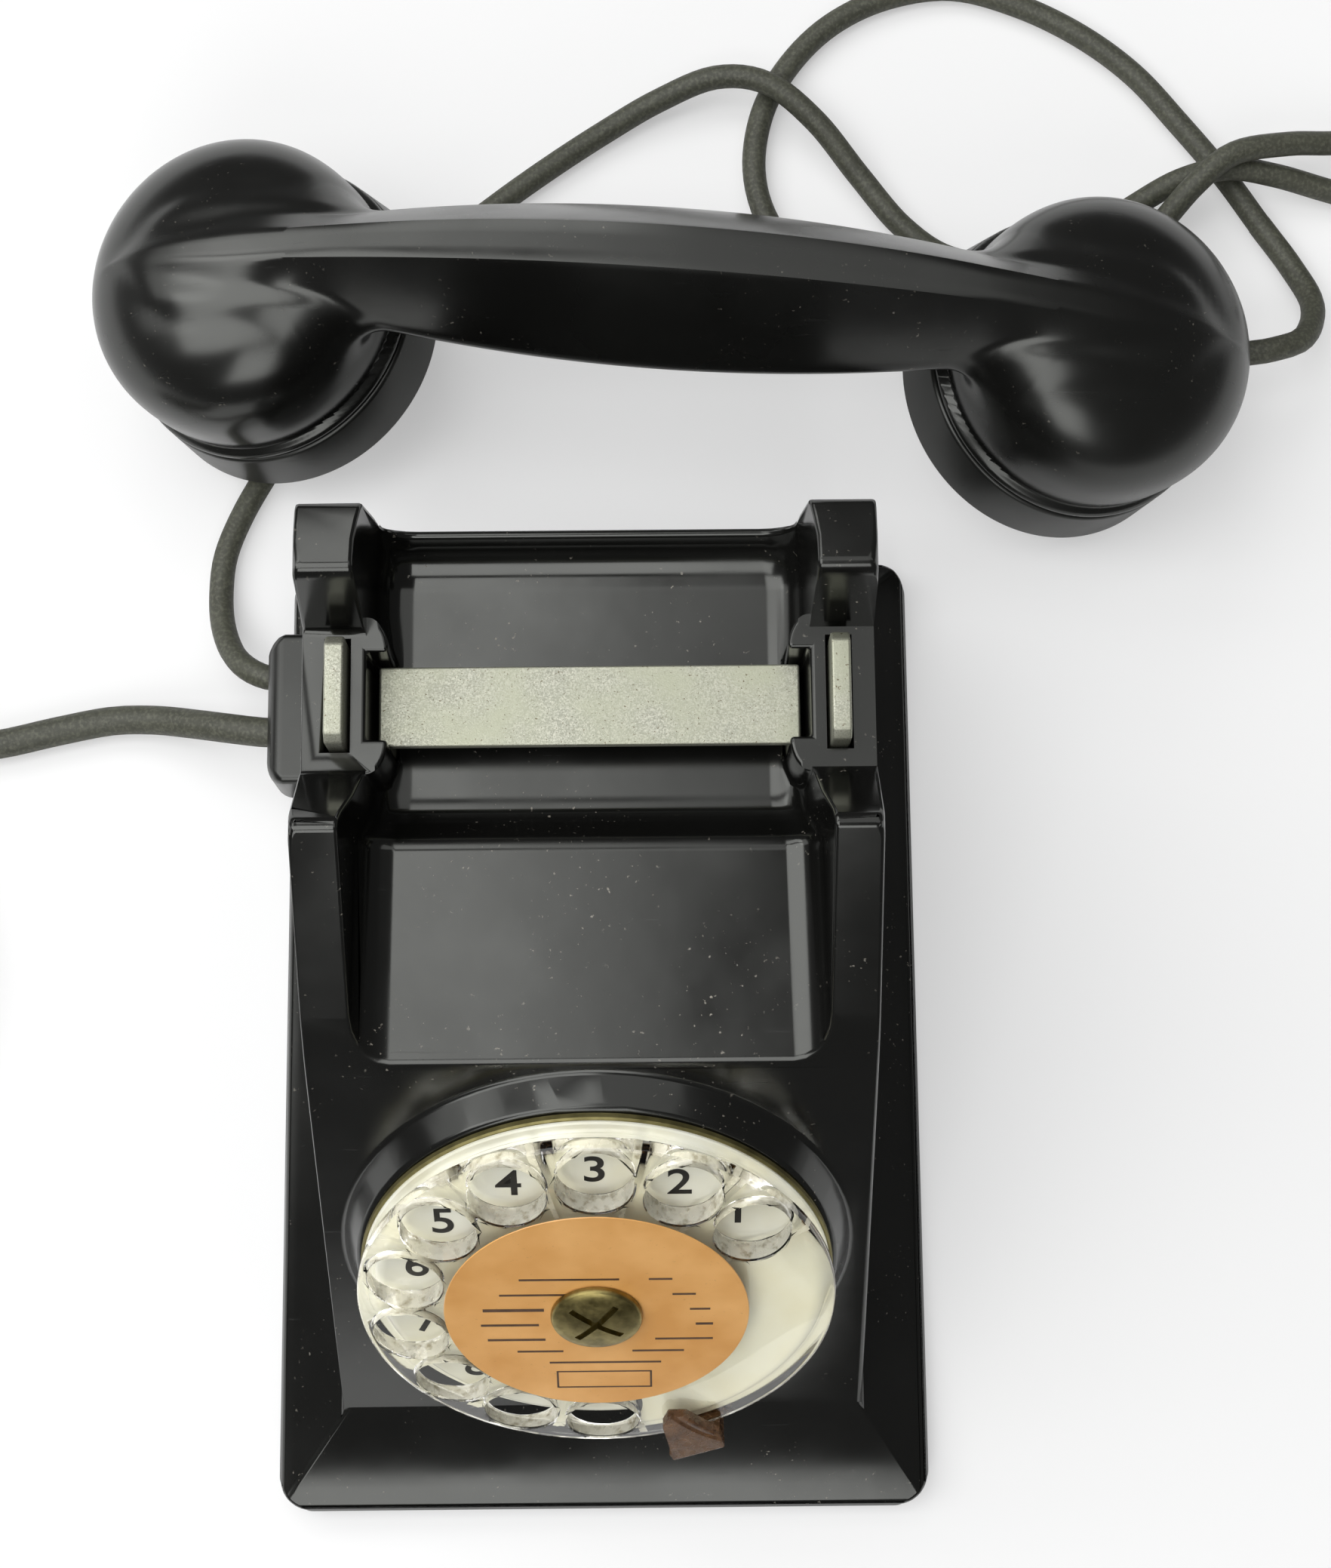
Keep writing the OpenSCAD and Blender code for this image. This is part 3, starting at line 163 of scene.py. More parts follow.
def bevelled(obj, width, segments=2, angle=30):
    """Rounds the edges that are sharper than an angle, save any whose rounding would stray."""
    bm = bmesh.new()
    bm.from_mesh(obj.data)
    skin = BVHTree.FromBMesh(bm)
    weight = bm.edges.layers.float.new("bevel_weight_edge")
    for edge in bm.edges:
        if len(edge.link_faces) == 2 and edge.calc_face_angle(0) > math.radians(angle):
            edge[weight] = 1
    bevel = obj.modifiers.new("edge_round", "BEVEL")
    bevel.width = width * MM
    bevel.segments = segments
    bevel.limit_method = "WEIGHT"
    bevel.use_clamp_overlap = False
    for _ in range(BEVEL_ROUNDS):
        bm.to_mesh(obj.data)
        trial = evaluated(obj)
        strays = stray_points(trial, skin, STRAY_SHARE * width * MM)
        bpy.data.meshes.remove(trial)
        if not strays:
            break
        for edge in bm.edges:
            if edge[weight] > 0 and any(strays.find(end.co)[2] < MM for end in edge.verts):
                edge[weight] = 0
    bm.free()
    return baked(obj)


def stray_points(mesh, skin, reach):
    """A search tree of the corners of triangles that leave a skin by more than a reach, or None."""
    mesh.calc_loop_triangles()
    found = []
    for triangle in mesh.loop_triangles:
        a, b, c = (mesh.vertices[i].co.copy() for i in triangle.vertices)
        if any(skin.find_nearest(p)[3] > reach
               for p in (a, b, c, (a + b + c) / 3, (a + b) / 2, (b + c) / 2, (c + a) / 2)):
            found += [a, b, c]
    if not found:
        return None
    tree = KDTree(len(found))
    for i, point in enumerate(found):
        tree.insert(point, i)
    tree.balance()
    return tree


def from_node(name, node, finish, body, width, segments=2, angle=30, flat=1.0, merge=0.002,
              tools=()):
    """A copy of a solid, with clean faces, rounded edges and cuts, which stands for it."""
    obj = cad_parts[node].copy()
    obj.data = obj.data.copy()
    obj.name = obj.data.name = name
    bpy.context.scene.collection.objects.link(obj)
    bevelled(outward(obj, merge, flat), width, segments, angle)
    finished(cut(obj, *tools), finish, None)
    even = obj.modifiers.new("even_faces", "WEIGHTED_NORMAL")
    even.keep_sharp = True
    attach(baked(obj), body)
    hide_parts(node)
    return obj


def tube_faces(rings, n):
    """Faces between rings of n points each, one after the other."""
    return [(i * n + k, i * n + (k + 1) % n, (i + 1) * n + (k + 1) % n, (i + 1) * n + k)
            for i in range(rings - 1) for k in range(n)]


def revolved(name, profile, place, finish, body, steps):
    """A closed profile of (radius, height) points turned about the place's Z axis."""
    verts, faces = [], []
    n = len(profile)
    for i in range(steps):
        a = 2 * math.pi * i / steps
        verts += [place @ Vector((r * math.cos(a), r * math.sin(a), z)) for r, z in profile]
        j = (i + 1) % steps
        faces += [(i * n + k, j * n + k, j * n + (k + 1) % n, i * n + (k + 1) % n)
                  for k in range(n)]
    return finished(outward(piece(name, verts, faces, finish, body)), finish, None)


def arc(cx, cy, r, a0, a1, n):
    """Points of an arc, in degrees, both ends included."""
    turn = [math.radians(a0 + (a1 - a0) * i / n) for i in range(n + 1)]
    return [(cx + r * math.cos(a), cy + r * math.sin(a)) for a in turn]


def slab(name, place, x, y, z, finish):
    """A plain block between two values each of x, y and z."""
    corners = [(x[0], y[0]), (x[1], y[0]), (x[1], y[1]), (x[0], y[1])]
    verts = [place @ Vector((px, py, pz)) for pz in z for px, py in corners]
    return piece(name, verts, [(3, 2, 1, 0), (4, 5, 6, 7)] + tube_faces(2, 4), finish, None)


def cut(obj, *tools):
    """Takes the tools' shapes out of a piece."""
    for tool in tools:
        step = obj.modifiers.new("cut", "BOOLEAN")
        step.operation = "DIFFERENCE"
        step.solver = "EXACT"
        step.object = tool
        baked(obj)
        bpy.data.objects.remove(tool)
    return obj


# ---- Frames of the dial and the handset ------------------------------------

ORIGIN = Matrix.Identity(4)
DIAL_TILT = math.radians(53.5)
DIAL_AT = Matrix.Translation((0, -49.591, 60.46)) @ Matrix.Rotation(DIAL_TILT, 4, "X")

HANDSET_AT = Matrix.Translation((14.7, 135, 0)) @ Matrix.Rotation(math.radians(-4.6), 4, "Z")
HALF_SPAN = 84.3
DOME_R = 30
DOME_UP = 22.8
CAPSULE_TILT = math.radians(19.4)
SIN_TILT, COS_TILT = math.sin(CAPSULE_TILT), math.cos(CAPSULE_TILT)
CAP_R = 32
CAP_H = 12.2
NECK_R = CAP_R - 4.4
UNIT_R = 23.5
FACE_Z = (CAP_R - 0.4) * SIN_TILT
FACE_X = HALF_SPAN - DOME_UP * SIN_TILT


def capsule_at(side):
    """Frame of a capsule with Z up from the middle of its cap's face; side is -1 for the ear."""
    tilt = Matrix.Rotation(side * CAPSULE_TILT, 4, "Y")
    return HANDSET_AT @ Matrix.Translation((side * FACE_X, 0, FACE_Z)) @ tilt


# ---- Materials -------------------------------------------------------------


def linear(code):
    """An sRGB hex colour as a linear one."""
    parts = [int(code[i : i + 2], 16) / 255 for i in (1, 3, 5)]
    return [c / 12.92 if c <= 0.04045 else ((c + 0.055) / 1.055) ** 2.4 for c in parts] + [1]


def add(tree, kind, settings=None, **inputs):
    """Adds one node. Inputs are values, or sockets to link; _0 stands for a numbered socket."""
    node = tree.nodes.new(kind)
    for key, value in (settings or {}).items():
        setattr(node, key, value)
    for key, value in inputs.items():
        socket = node.inputs[int(key[1:])] if key[0] == "_" else node.inputs[key.replace("_", " ")]
        if isinstance(value, bpy.types.NodeSocket):
            tree.links.new(value, socket)
        else:
            socket.default_value = value
    return node


def started(name):
    """A new material, its tree, and the Object coordinates in millimetres."""
    material = bpy.data.materials.new(name)
    material.use_nodes = True
    tree = material.node_tree
    tree.nodes.clear()
    place = add(tree, "ShaderNodeTexCoord").outputs["Object"]
    scaled = add(tree, "ShaderNodeMapping", Vector=place, Scale=(1000, 1000, 1000))
    return material, tree, scaled.outputs["Vector"]


def surfaced(material, shader):
    """Ends a material with its shader."""
    add(material.node_tree, "ShaderNodeOutputMaterial", Surface=shader.outputs[0])
    return material


def principled(material, **inputs):
    """Ends a material with one principled shader."""
    return surfaced(material, add(material.node_tree, "ShaderNodeBsdfPrincipled", **inputs))


def calc(tree, operation, *values):
    """The result of one arithmetic node."""
    inputs = {"_%d" % i: value for i, value in enumerate(values)}
    return add(tree, "ShaderNodeMath", {"operation": operation}, **inputs).outputs[0]


def noise(tree, place, size_mm, detail, rough=0.5):
    """Noise whose patches are about size_mm across."""
    made = add(tree, "ShaderNodeTexNoise", Vector=place, Scale=1 / size_mm, Detail=detail,
               Roughness=rough)
    return made.outputs["Fac"]


def spread(tree, value, low, high, a=0.0, b=1.0):
    """Maps low..high of a value to a..b, clamped."""
    made = add(tree, "ShaderNodeMapRange", Value=value, _1=low, _2=high, _3=a, _4=b)
    return made.outputs["Result"]


def patches(tree, place, size_mm, detail, low, high, a=0.0, b=1.0, rough=0.5):
    """Noise of a size with its values low..high mapped to a..b."""
    return spread(tree, noise(tree, place, size_mm, detail, rough), low, high, a, b)


def blended(tree, factor, a, b):
    """Mixes two colours, each a socket, a linear colour or a hex colour."""
    a, b = (linear(colour) if isinstance(colour, str) else colour for colour in (a, b))
    return add(tree, "ShaderNodeMix", {"data_type": "RGBA"}, _0=factor, _6=a, _7=b).outputs[2]


def bumped(tree, height, strength, depth_mm):
    """A surface normal from a height."""
    bump = add(tree, "ShaderNodeBump", Height=height, Strength=strength, Distance=depth_mm * MM)
    return bump.outputs["Normal"]


def phenolic(name="polished_phenolic", haze_by=0.0, dusty_by=1.0):
    """Polished phenolic moulding: near black and glossy, with dust, scuffs and a faint haze."""
    look = bpy.context.scene.telephone_finish
    material, tree, place = started(name)
    haze = patches(tree, place, 28, 4, 0.35, 0.7, look.gloss_low + haze_by,
                   look.gloss_high + haze_by)
    dust = calc(tree, "MULTIPLY", patches(tree, place, 0.9, 2, 0.69, 0.74),
                patches(tree, place, 17, 3, 0.48, 0.66, 0, dusty_by))
    streaks = add(tree, "ShaderNodeMapping", Vector=place, Scale=(0.06, 1.4, 0.5),
                  Rotation=(0, 0, math.radians(28)))
    scuffs = patches(tree, streaks.outputs["Vector"], 1.6, 4, 0.66, 0.78, 0, 0.12, 0.6)
    rough = calc(tree, "MAXIMUM", calc(tree, "ADD", haze, scuffs), spread(tree, dust, 0, 1, 0, 0.6))
    return principled(
        material, Base_Color=blended(tree, dust, tuple(look.bakelite), "#8b867c"), Roughness=rough,
        IOR=1.62, Specular_Tint=linear("#fafcf7"),
        Normal=bumped(tree, noise(tree, place, 9, 2), 0.02, 1))


def worn_nickel():
    """Nickel plate worn matt: grey with warm tarnish specks."""
    material, tree, place = started("worn_nickel_plate")
    fine = patches(tree, place, 0.28, 3, 0.42, 0.62, rough=0.7)
    plate = blended(tree, fine, "#9d9e90", "#c3c3b4")
    toned = blended(tree, patches(tree, place, 9, 3, 0.35, 0.7), plate, "#aeb09c")
    colour = blended(tree, patches(tree, place, 0.4, 2, 0.66, 0.72), toned, "#6d6450")
    return principled(
        material, Base_Color=colour, Roughness=spread(tree, fine, 0, 1, 0.5, 0.38), Metallic=0.75,
        Normal=bumped(tree, fine, 0.12, 0.2))


def metal(name, light, dark, rough, size=6, metallic=1.0):
    """Bare or plated metal with soft patches of two tones."""
    material, tree, place = started(name)
    colour = blended(tree, patches(tree, place, size, 4, 0.35, 0.68), light, dark)
    worn = patches(tree, place, size * 0.3, 3, 0.3, 0.7, rough, rough + 0.15)
    return principled(material, Base_Color=colour, Roughness=worn, Metallic=metallic)


def matt(name, light, dark, rough, size=3, bump_mm=0.05):
    """A non-metal with two tones in patches and a fine grain."""
    material, tree, place = started(name)
    colour = blended(tree, patches(tree, place, size, 4, 0.35, 0.68), light, dark)
    return principled(
        material, Base_Color=colour, Roughness=rough,
        Normal=bumped(tree, noise(tree, place, 0.35, 2), 0.4, bump_mm))


def clear_acrylic():
    """Clear cast acrylic, slightly yellowed: light passes to the plate below it."""
    material, tree, place = started("yellowed_clear_acrylic")
    smear = patches(tree, place, 5, 4, 0.4, 0.75, 0.02, 0.09)
    glass = add(tree, "ShaderNodeBsdfPrincipled", Base_Color=linear("#fdfcf6"), Roughness=smear,
                IOR=1.49, Transmission_Weight=1.0)
    clear = add(tree, "ShaderNodeBsdfTransparent", Color=linear("#f6f4ea"))
    ray = add(tree, "ShaderNodeLightPath")
    return surfaced(material, add(tree, "ShaderNodeMixShader", _0=ray.outputs["Is Shadow Ray"],
                                  _1=glass.outputs[0], _2=clear.outputs[0]))


def hole_wall():
    """Acrylic rubbed by fingers: milky, with darker grime in streaks."""
    material, tree, place = started("finger_rubbed_acrylic")
    grime = patches(tree, place, 1.6, 3, 0.5, 0.72, rough=0.6)
    return principled(
        material, Base_Color=blended(tree, grime, "#f4f1e2", "#a39a80"), IOR=1.49,
        Roughness=patches(tree, place, 2.5, 2, 0.35, 0.7, 0.12, 0.4), Transmission_Weight=0.45)


def brown_acetate():
    """Brown translucent moulding, scratched matt in places."""
    material, tree, place = started("brown_cellulose_acetate")
    tone = blended(tree, patches(tree, place, 3, 3, 0.35, 0.7), "#96704f", "#634832")
    return principled(
        material, Base_Color=tone, Roughness=patches(tree, place, 1.2, 3, 0.45, 0.7, 0.18, 0.5),
        IOR=1.48, Transmission_Weight=0.6)


def cream_enamel():
    """Stove enamel on the number plate: glossy off-white with faint yellowing."""
    look = bpy.context.scene.telephone_finish
    material, tree, place = started("cream_stove_enamel")
    tone = blended(tree, patches(tree, place, 12, 3, 0.35, 0.7), tuple(look.enamel), "#dcd9c4")
    return principled(material, Base_Color=tone, Roughness=0.22)


def label_card():
    """Printed card, sun-browned to a warm tan, under a glossy varnish."""
    look = bpy.context.scene.telephone_finish
    material, tree, place = started("browned_label_card")
    tone = blended(tree, patches(tree, place, 14, 3, 0.38, 0.66), tuple(look.card), "#d89c54")
    flecked = blended(tree, patches(tree, place, 0.6, 2, 0.68, 0.76, 0, 0.4), tone, "#b9864b")
    return principled(material, Base_Color=flecked, Roughness=0.32)


def cord_rubber():
    """Vulcanised rubber sheath, dark olive grey and dusty."""
    look = bpy.context.scene.telephone_finish
    material, tree, place = started("dusty_rubber_sheath")
    wide = patches(tree, place, 6, 4, 0.35, 0.7, rough=0.6)
    base = blended(tree, wide, tuple(look.cord), "#3c3d33")
    colour = blended(tree, patches(tree, place, 0.7, 3, 0.45, 0.7), base, "#5b5c4f")
    return principled(
        material, Base_Color=colour, Roughness=0.55,
        Normal=bumped(tree, noise(tree, place, 0.8, 3), 0.3, 0.1))


def white_sheet():
    """The stage's white sheet: it takes the object's shadow and stays white to the camera."""
    material, tree, place = started("white_cotton_sheet")
    cloth = add(tree, "ShaderNodeBsdfPrincipled", Base_Color=linear("#f7f7f7"), Roughness=0.9,
                Normal=bumped(tree, noise(tree, place, 90, 3, 0.45), 0.2, 3))
    ray = add(tree, "ShaderNodeLightPath")
    white = add(tree, "ShaderNodeEmission", Color=linear("#ffffff"), Strength=1.0)
    seen = calc(tree, "MULTIPLY", ray.outputs["Is Camera Ray"], 0.4)
    return surfaced(material, add(tree, "ShaderNodeMixShader", _0=seen, _1=cloth.outputs[0],
                                  _2=white.outputs[0]))


FINISHES = {
    "phenolic": (phenolic,),
    "handset_phenolic": (phenolic, "handset_phenolic", 0.07, 0.5),
    "cap_phenolic": (phenolic, "matt_cap_phenolic", 0.16, 0.3),
    "gland": (phenolic, "gland_phenolic", 0.14, 0.6),
    "sheet": (white_sheet,),
    "nickel": (worn_nickel,),
    "steel": (metal, "zinc_plated_steel", "#b4b6b4", "#8f918d", 0.32, 9),
    "brass": (metal, "tarnished_brass", "#9c8f5c", "#6f653c", 0.3, 3),
    "bell_brass": (metal, "turned_brass", "#b79b52", "#93793a", 0.2, 12),
    "olive_brass": (metal, "dull_olive_brass", "#8f875a", "#6c6540", 0.38, 5, 0.85),
    "magnet": (matt, "red_painted_iron", "#6f2a1e", "#521d15", 0.45),
    "fibre": (matt, "vulcanised_fibre", "#5d3a26", "#482c1c", 0.6),
    "copper": (metal, "enamelled_copper_wire", "#8a4a26", "#6d3719", 0.3, 2),
    "tin": (metal, "tinned_can", "#a9a89f", "#8a897f", 0.4, 8),
    "feet_rubber": (matt, "moulded_black_rubber", "#2c2a28", "#201f1d", 0.8),
    "sleeve_rubber": (matt, "aged_brown_rubber", "#5b4f40", "#463c31", 0.6),
    "ink": (matt, "printed_black_ink", "#191817", "#232220", 0.4, 2, 0.01),
    "brown_ink": (matt, "faded_brown_ink", "#4a3423", "#5b412c", 0.5, 2, 0.01),
    "acrylic": (clear_acrylic,),
    "hole_wall": (hole_wall,),
    "acetate": (brown_acetate,),
    "enamel": (cream_enamel,),
    "card": (label_card,),
    "cord": (cord_rubber,),
}
MADE = {}


def finish_of(name):
    """The named finish, made once."""
    if name not in MADE:
        maker, *given = FINISHES[name]
        MADE[name] = maker(*given)
    return MADE[name]


# ---- Cords -----------------------------------------------------------------

HANDSET_CORD_D = 0.005
LINE_CORD_D = 0.006
# Where the cords lie, in mm. A point without a height lies on the table.
HANDSET_ROUTE = [
    (-61.3, 68, 13.5), (-66, 68.4, 13.4), (-70.5, 70.8, 11.8), (-74, 75, 8.4), (-76.5, 81.5, 5),
    (-77.3, 89, 3), (-76.5, 97), (-73, 106), (-67.5, 116), (-61, 127), (-53, 139), (-44, 151),
    (-34, 162), (-22, 172), (-10, 181), (2, 189, 3), (13, 195, 4.6), (25, 199, 7), (36, 197, 8.2),
    (46, 189, 6.8), (55, 178, 4), (64, 167, 2.8), (74, 160), (87, 159), (101, 163, 3),
    (112, 170, 5), (122, 175, 7.4), (132, 177, 8.4), (142, 176, 7), (153, 174, 4), (165, 171),
    (178, 168), (191, 167), (203, 171), (209, 180), (205, 190), (194, 194), (182, 192),
    (169, 187, 4), (156, 183, 7.6), (144, 181, 11.6), (132, 178, 13.8), (124, 172, 12),
    (117, 165, 7), (108, 157, 3.2), (97, 151), (84, 148), (70, 148), (56, 151), (44, 158),
    (36, 168), (33, 180), (35, 193), (41, 204), (50, 213), (62, 219), (76, 221), (90, 217),
    (103, 210), (114, 201), (123, 190), (132, 178), (139, 167), (145, 157, 3.6), (148, 147, 7.6),
    (144.5, 138, 13.4), (137.4, 134.3, 16.5), (131.5, 133.4, 16.5),
]
LINE_ROUTE = [
    (-61.3, 57, 13.5), (-67, 57.3, 13.3), (-74, 58.5, 11.8), (-82, 60.3, 8.2), (-90, 61.8, 5),
    (-99, 62, 3.4), (-110, 60), (-122, 57.4), (-134, 56.6), (-146, 57, 3.2), (-158, 57.2, 3.6),
]
TAIL_ROUTE = [(-192.5, -37.5, 8.8), (-185, -42.5, 7), (-177.5, -47.5, 6), (-170, -52.5, 6)]
COIL_AT = Vector((-0.172, 0.008, 0.0008))
COIL_COLUMNS = (0.043, 0.037, 0.031, 0.025)
COIL_FROM = 90
COIL_TO = 235
COIL_STEPS = 24
STEP_OVER = 0.38
LAST_STRETCH = 62


def laid(route, diameter):
    """A route's points in metres; those without a height lie on the table."""
    lying = diameter / 2 / MM + 0.1
    return [Vector([c / 1000 for c in (*point, lying)[:3]]) for point in route]


def coil_turns():
    """The wound turns: in through the four columns of the lower layer, out through the upper."""
    low = LINE_CORD_D / 2
    turns = [(r, low) for r in COIL_COLUMNS] + [(r, 3 * low) for r in reversed(COIL_COLUMNS)]
    whole = len(turns) - 1 + (COIL_TO - COIL_FROM) / 360
    points = []
    for i in range(int(whole * COIL_STEPS) + 1):
        turn = i / COIL_STEPS
        k = min(int(turn), len(turns) - 2)
        # each turn lies in its column and steps over to the next in its last third
        step = min(max((turn - k - (1 - STEP_OVER)) / STEP_OVER, 0), 1)
        ease = step * step * (3 - 2 * step)
        r = turns[k][0] + (turns[k + 1][0] - turns[k][0]) * ease
        z = turns[k][1] + (turns[k + 1][1] - turns[k][1]) * ease
        a = math.radians(COIL_FROM) + 2 * math.pi * turn
        points.append(COIL_AT + Vector((r * math.cos(a), r * math.sin(a), z)))
    return points


def smooth_path(points, step=0.002):
    """A Catmull-Rom path through points, at even steps."""
    p = [points[0] * 2 - points[1]] + points + [points[-1] * 2 - points[-2]]
    path = []
    for i in range(1, len(p) - 2):
        n = max(2, round((p[i + 1] - p[i]).length / step))
        for k in range(n):
            t = k / n
            path.append(0.5 * (2 * p[i] + (p[i + 1] - p[i - 1]) * t
                               + (2 * p[i - 1] - 5 * p[i] + 4 * p[i + 1] - p[i + 2]) * t * t
                               + (3 * p[i] - p[i - 1] - 3 * p[i + 1] + p[i + 2]) * t ** 3))
    return path + [p[-2]]


def cord_curve(name, path, diameter, finish, body):
    """A round cord along a path, as a curve of one open spline."""
    curve = bpy.data.curves.new(name, "CURVE")
    curve.dimensions = "3D"
    curve.bevel_depth = diameter / 2
    curve.bevel_resolution = 4
    curve.use_fill_caps = True
    spline = curve.splines.new("POLY")
    spline.points.add(len(path) - 1)
    for point, at in zip(spline.points, path):
        point.co = (*at, 1)
    curve.materials.append(finish_of(finish))
    obj = linked(name, curve)
    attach(obj, body)
    return obj


def cord_mesh(name, path, diameter, finish, sides=16):
    """A round cord along a path, as a closed mesh tube."""
    verts = []
    side = Vector((0, 0, 1)).cross(path[1] - path[0]).normalized()
    for i, at in enumerate(path):
        ahead = (path[min(i + 1, len(path) - 1)] - path[max(i - 1, 0)]).normalized()
        side = (side - ahead * side.dot(ahead)).normalized()
        up = ahead.cross(side)
        verts += [(at + diameter / 2 * (side * math.cos(a) + up * math.sin(a))) / MM
                  for a in (2 * math.pi * k / sides for k in range(sides))]
    faces = tube_faces(len(path), sides)
    faces += [tuple(reversed(range(sides))),
              tuple((len(path) - 1) * sides + k for k in range(sides))]
    return finished(outward(piece(name, verts, faces, finish, None)), finish, None, 50)


# ---- Handset shell: one skin over the grip, its ridge and the two domes ----

DOME_H = 21.2
DOME_POWER = 2.6
CROWN_X = FACE_X + (DOME_UP + DOME_H) * SIN_TILT
CROWN_Z = FACE_Z + (DOME_UP + DOME_H) * COS_TILT
RIDGE_Z = 71.6
RIDGE_HALF = 4.2
RIDGE_FALL = (RIDGE_Z - CROWN_Z - 2.4) / CROWN_X ** 2
GRIP_HALF = 17.0
GRIP_Z = 50.0
TIP_X = HALF_SPAN + DOME_R - 5
DOME_Z = FACE_Z + DOME_UP * COS_TILT
CUT_UP = CAP_H + 0.2
BEAD_UP = CUT_UP + 1.3
BEAD_R = DOME_R - 0.4
CUT_R = DOME_R * (1 - ((DOME_UP - CUT_UP) / DOME_H) ** DOME_POWER) ** (1 / DOME_POWER)
RAY_FAR = 75
RAY_UP = 60
HALVINGS = 26
RIDGE_COLUMNS = 6
SIDE_COLUMNS = 66


def ridge_height(s):
    """Height of the ridge at a distance along the grip; it dips onto the dome at its tip."""
    past = np.maximum(0, (np.abs(s) - CROWN_X) / (TIP_X - CROWN_X))
    return RIDGE_Z - RIDGE_FALL * s * s - 5 * past ** 3


def ridge_half(s):
    """Half width of the flat along the ridge, which narrows to a point over each dome."""
    return RIDGE_HALF * np.maximum(0.002, 1 - (s / TIP_X) ** 2) ** 0.6


def soft_max(a, b, k):
    """The larger of two distances, rounded where they differ by less than k."""
    h = np.maximum(k - np.abs(a - b), 0) / k
    return np.maximum(a, b) + h * h * k / 4


def eased(a, b, v):
    """A smooth step from 0 at a to 1 at b."""
    t = np.clip((v - a) / (b - a), 0, 1)
    return t * t * (3 - 2 * t)


def plane_past(y, z, y0, z0, y1, z1):
    """Distance outside the line from (y0, z0) to (y1, z1), which runs down the outer side."""
    length = np.hypot(y1 - y0, z1 - z0)
    return ((y - y0) * (z0 - z1) + (z - z0) * (y1 - y0)) / length


def grip_distance(x, y, z):
    """Distance outside the grip, whose section has a flat ridge and slanting sides."""
    # t, w and u are the heights of the ridge, of the sides' edge and of the underside; a and b
    # are the half widths at the ridge and at the edge; on is 0 on the grip and 1 on a dome
    y = np.abs(y)
    s = np.minimum(np.abs(x), TIP_X)
    t, a = ridge_height(s), ridge_half(s)
    on = eased(58, 85, s)
    b = GRIP_HALF * (1 - (s / (TIP_X + 2)) ** 2) + 5 * eased(60, 95, s) * eased(TIP_X + 1, 94, s)
    b = np.maximum(b, a + 0.4)
    w = t - (1 - on) * (t - GRIP_Z) - on * 0.42 * (b - a)
    under = np.maximum(DOME_Z + 2, GRIP_Z - 2.7 - 0.04 * np.maximum(0, s - 50) ** 2)
    u = np.minimum(under, w - 1)
    my, mz = a + (b - a) * 0.68, t - (0.51 + 0.17 * on) * (t - w)
    upper = plane_past(y, z, a, t, my, mz)
    lower = plane_past(y, z, my, mz, b, w)
    edge = plane_past(y, z, b, w, b - 0.3, (w + u) / 2)
    heel = plane_past(y, z, b - 0.3, (w + u) / 2, b * 0.7, u)
    sides = soft_max(soft_max(upper, lower, 5.1 - 5 * on), soft_max(edge, heel, 2.5), 2.6)
    body = soft_max(soft_max(sides, u - z, 3.0), z - t, 0.35)
    return np.maximum(body, np.abs(x) - TIP_X)


def in_capsule(x, z):
    """Distances out from and up the axis of the nearer capsule."""
    cx, cz = np.abs(x) - FACE_X, z - FACE_Z
    return cx * COS_TILT - cz * SIN_TILT, cx * SIN_TILT + cz * COS_TILT


def dome_distance(x, y, z):
    """Distance outside the nearer dome, whose crown is flatter than a sphere's."""
    out, up = in_capsule(x, z)
    r = np.hypot(out, y) / DOME_R
    v = np.abs(up - DOME_UP) / DOME_H
    level = np.maximum((r ** DOME_POWER + v ** DOME_POWER) ** (1 / DOME_POWER), 0.05)
    slope = np.hypot((r / level) ** (DOME_POWER - 1) / DOME_R,
                     (v / level) ** (DOME_POWER - 1) / DOME_H)
    return (level - 1) / slope


def shell_distance(x, y, z):
    """Distance outside the handset's shell."""
    grip = grip_distance(x, y, z)
    dome = dome_distance(x, y, z)
    ax = np.abs(x)
    off = np.maximum(np.abs(y) - ridge_half(np.minimum(ax, TIP_X)), 0)
    blend = 0.5 + eased(1, 8, off) * (2 + 3.5 * eased(84, 62, ax)) + 1.5 * eased(58, 50, z)
    shell = -soft_max(-grip, -dome, blend)
    out, up = in_capsule(x, z)
    bead = np.hypot(np.hypot(out, y) - BEAD_R, up - BEAD_UP) - 1.3
    return -soft_max(-shell, -bead, 1.2)


def surface_along(origin, direction, reach, steps, leaving):
    """How far along rays the shell's surface is, where they leave it or where they enter it."""
    far = np.linspace(0, reach, steps)
    p = origin[..., None, :] + direction[..., None, :] * far[:, None]
    past = (shell_distance(p[..., 0], p[..., 1], p[..., 2]) > 0) == leaving
    first = np.argmax(past, axis=-1)
    lo, hi = far[np.maximum(first - 1, 0)], far[first]
    for _ in range(HALVINGS):
        mid = (lo + hi) / 2
        q = origin + direction * mid[..., None]
        past = (shell_distance(q[..., 0], q[..., 1], q[..., 2]) > 0) == leaving
        hi, lo = np.where(past, mid, hi), np.where(past, lo, mid)
    return (lo + hi) / 2


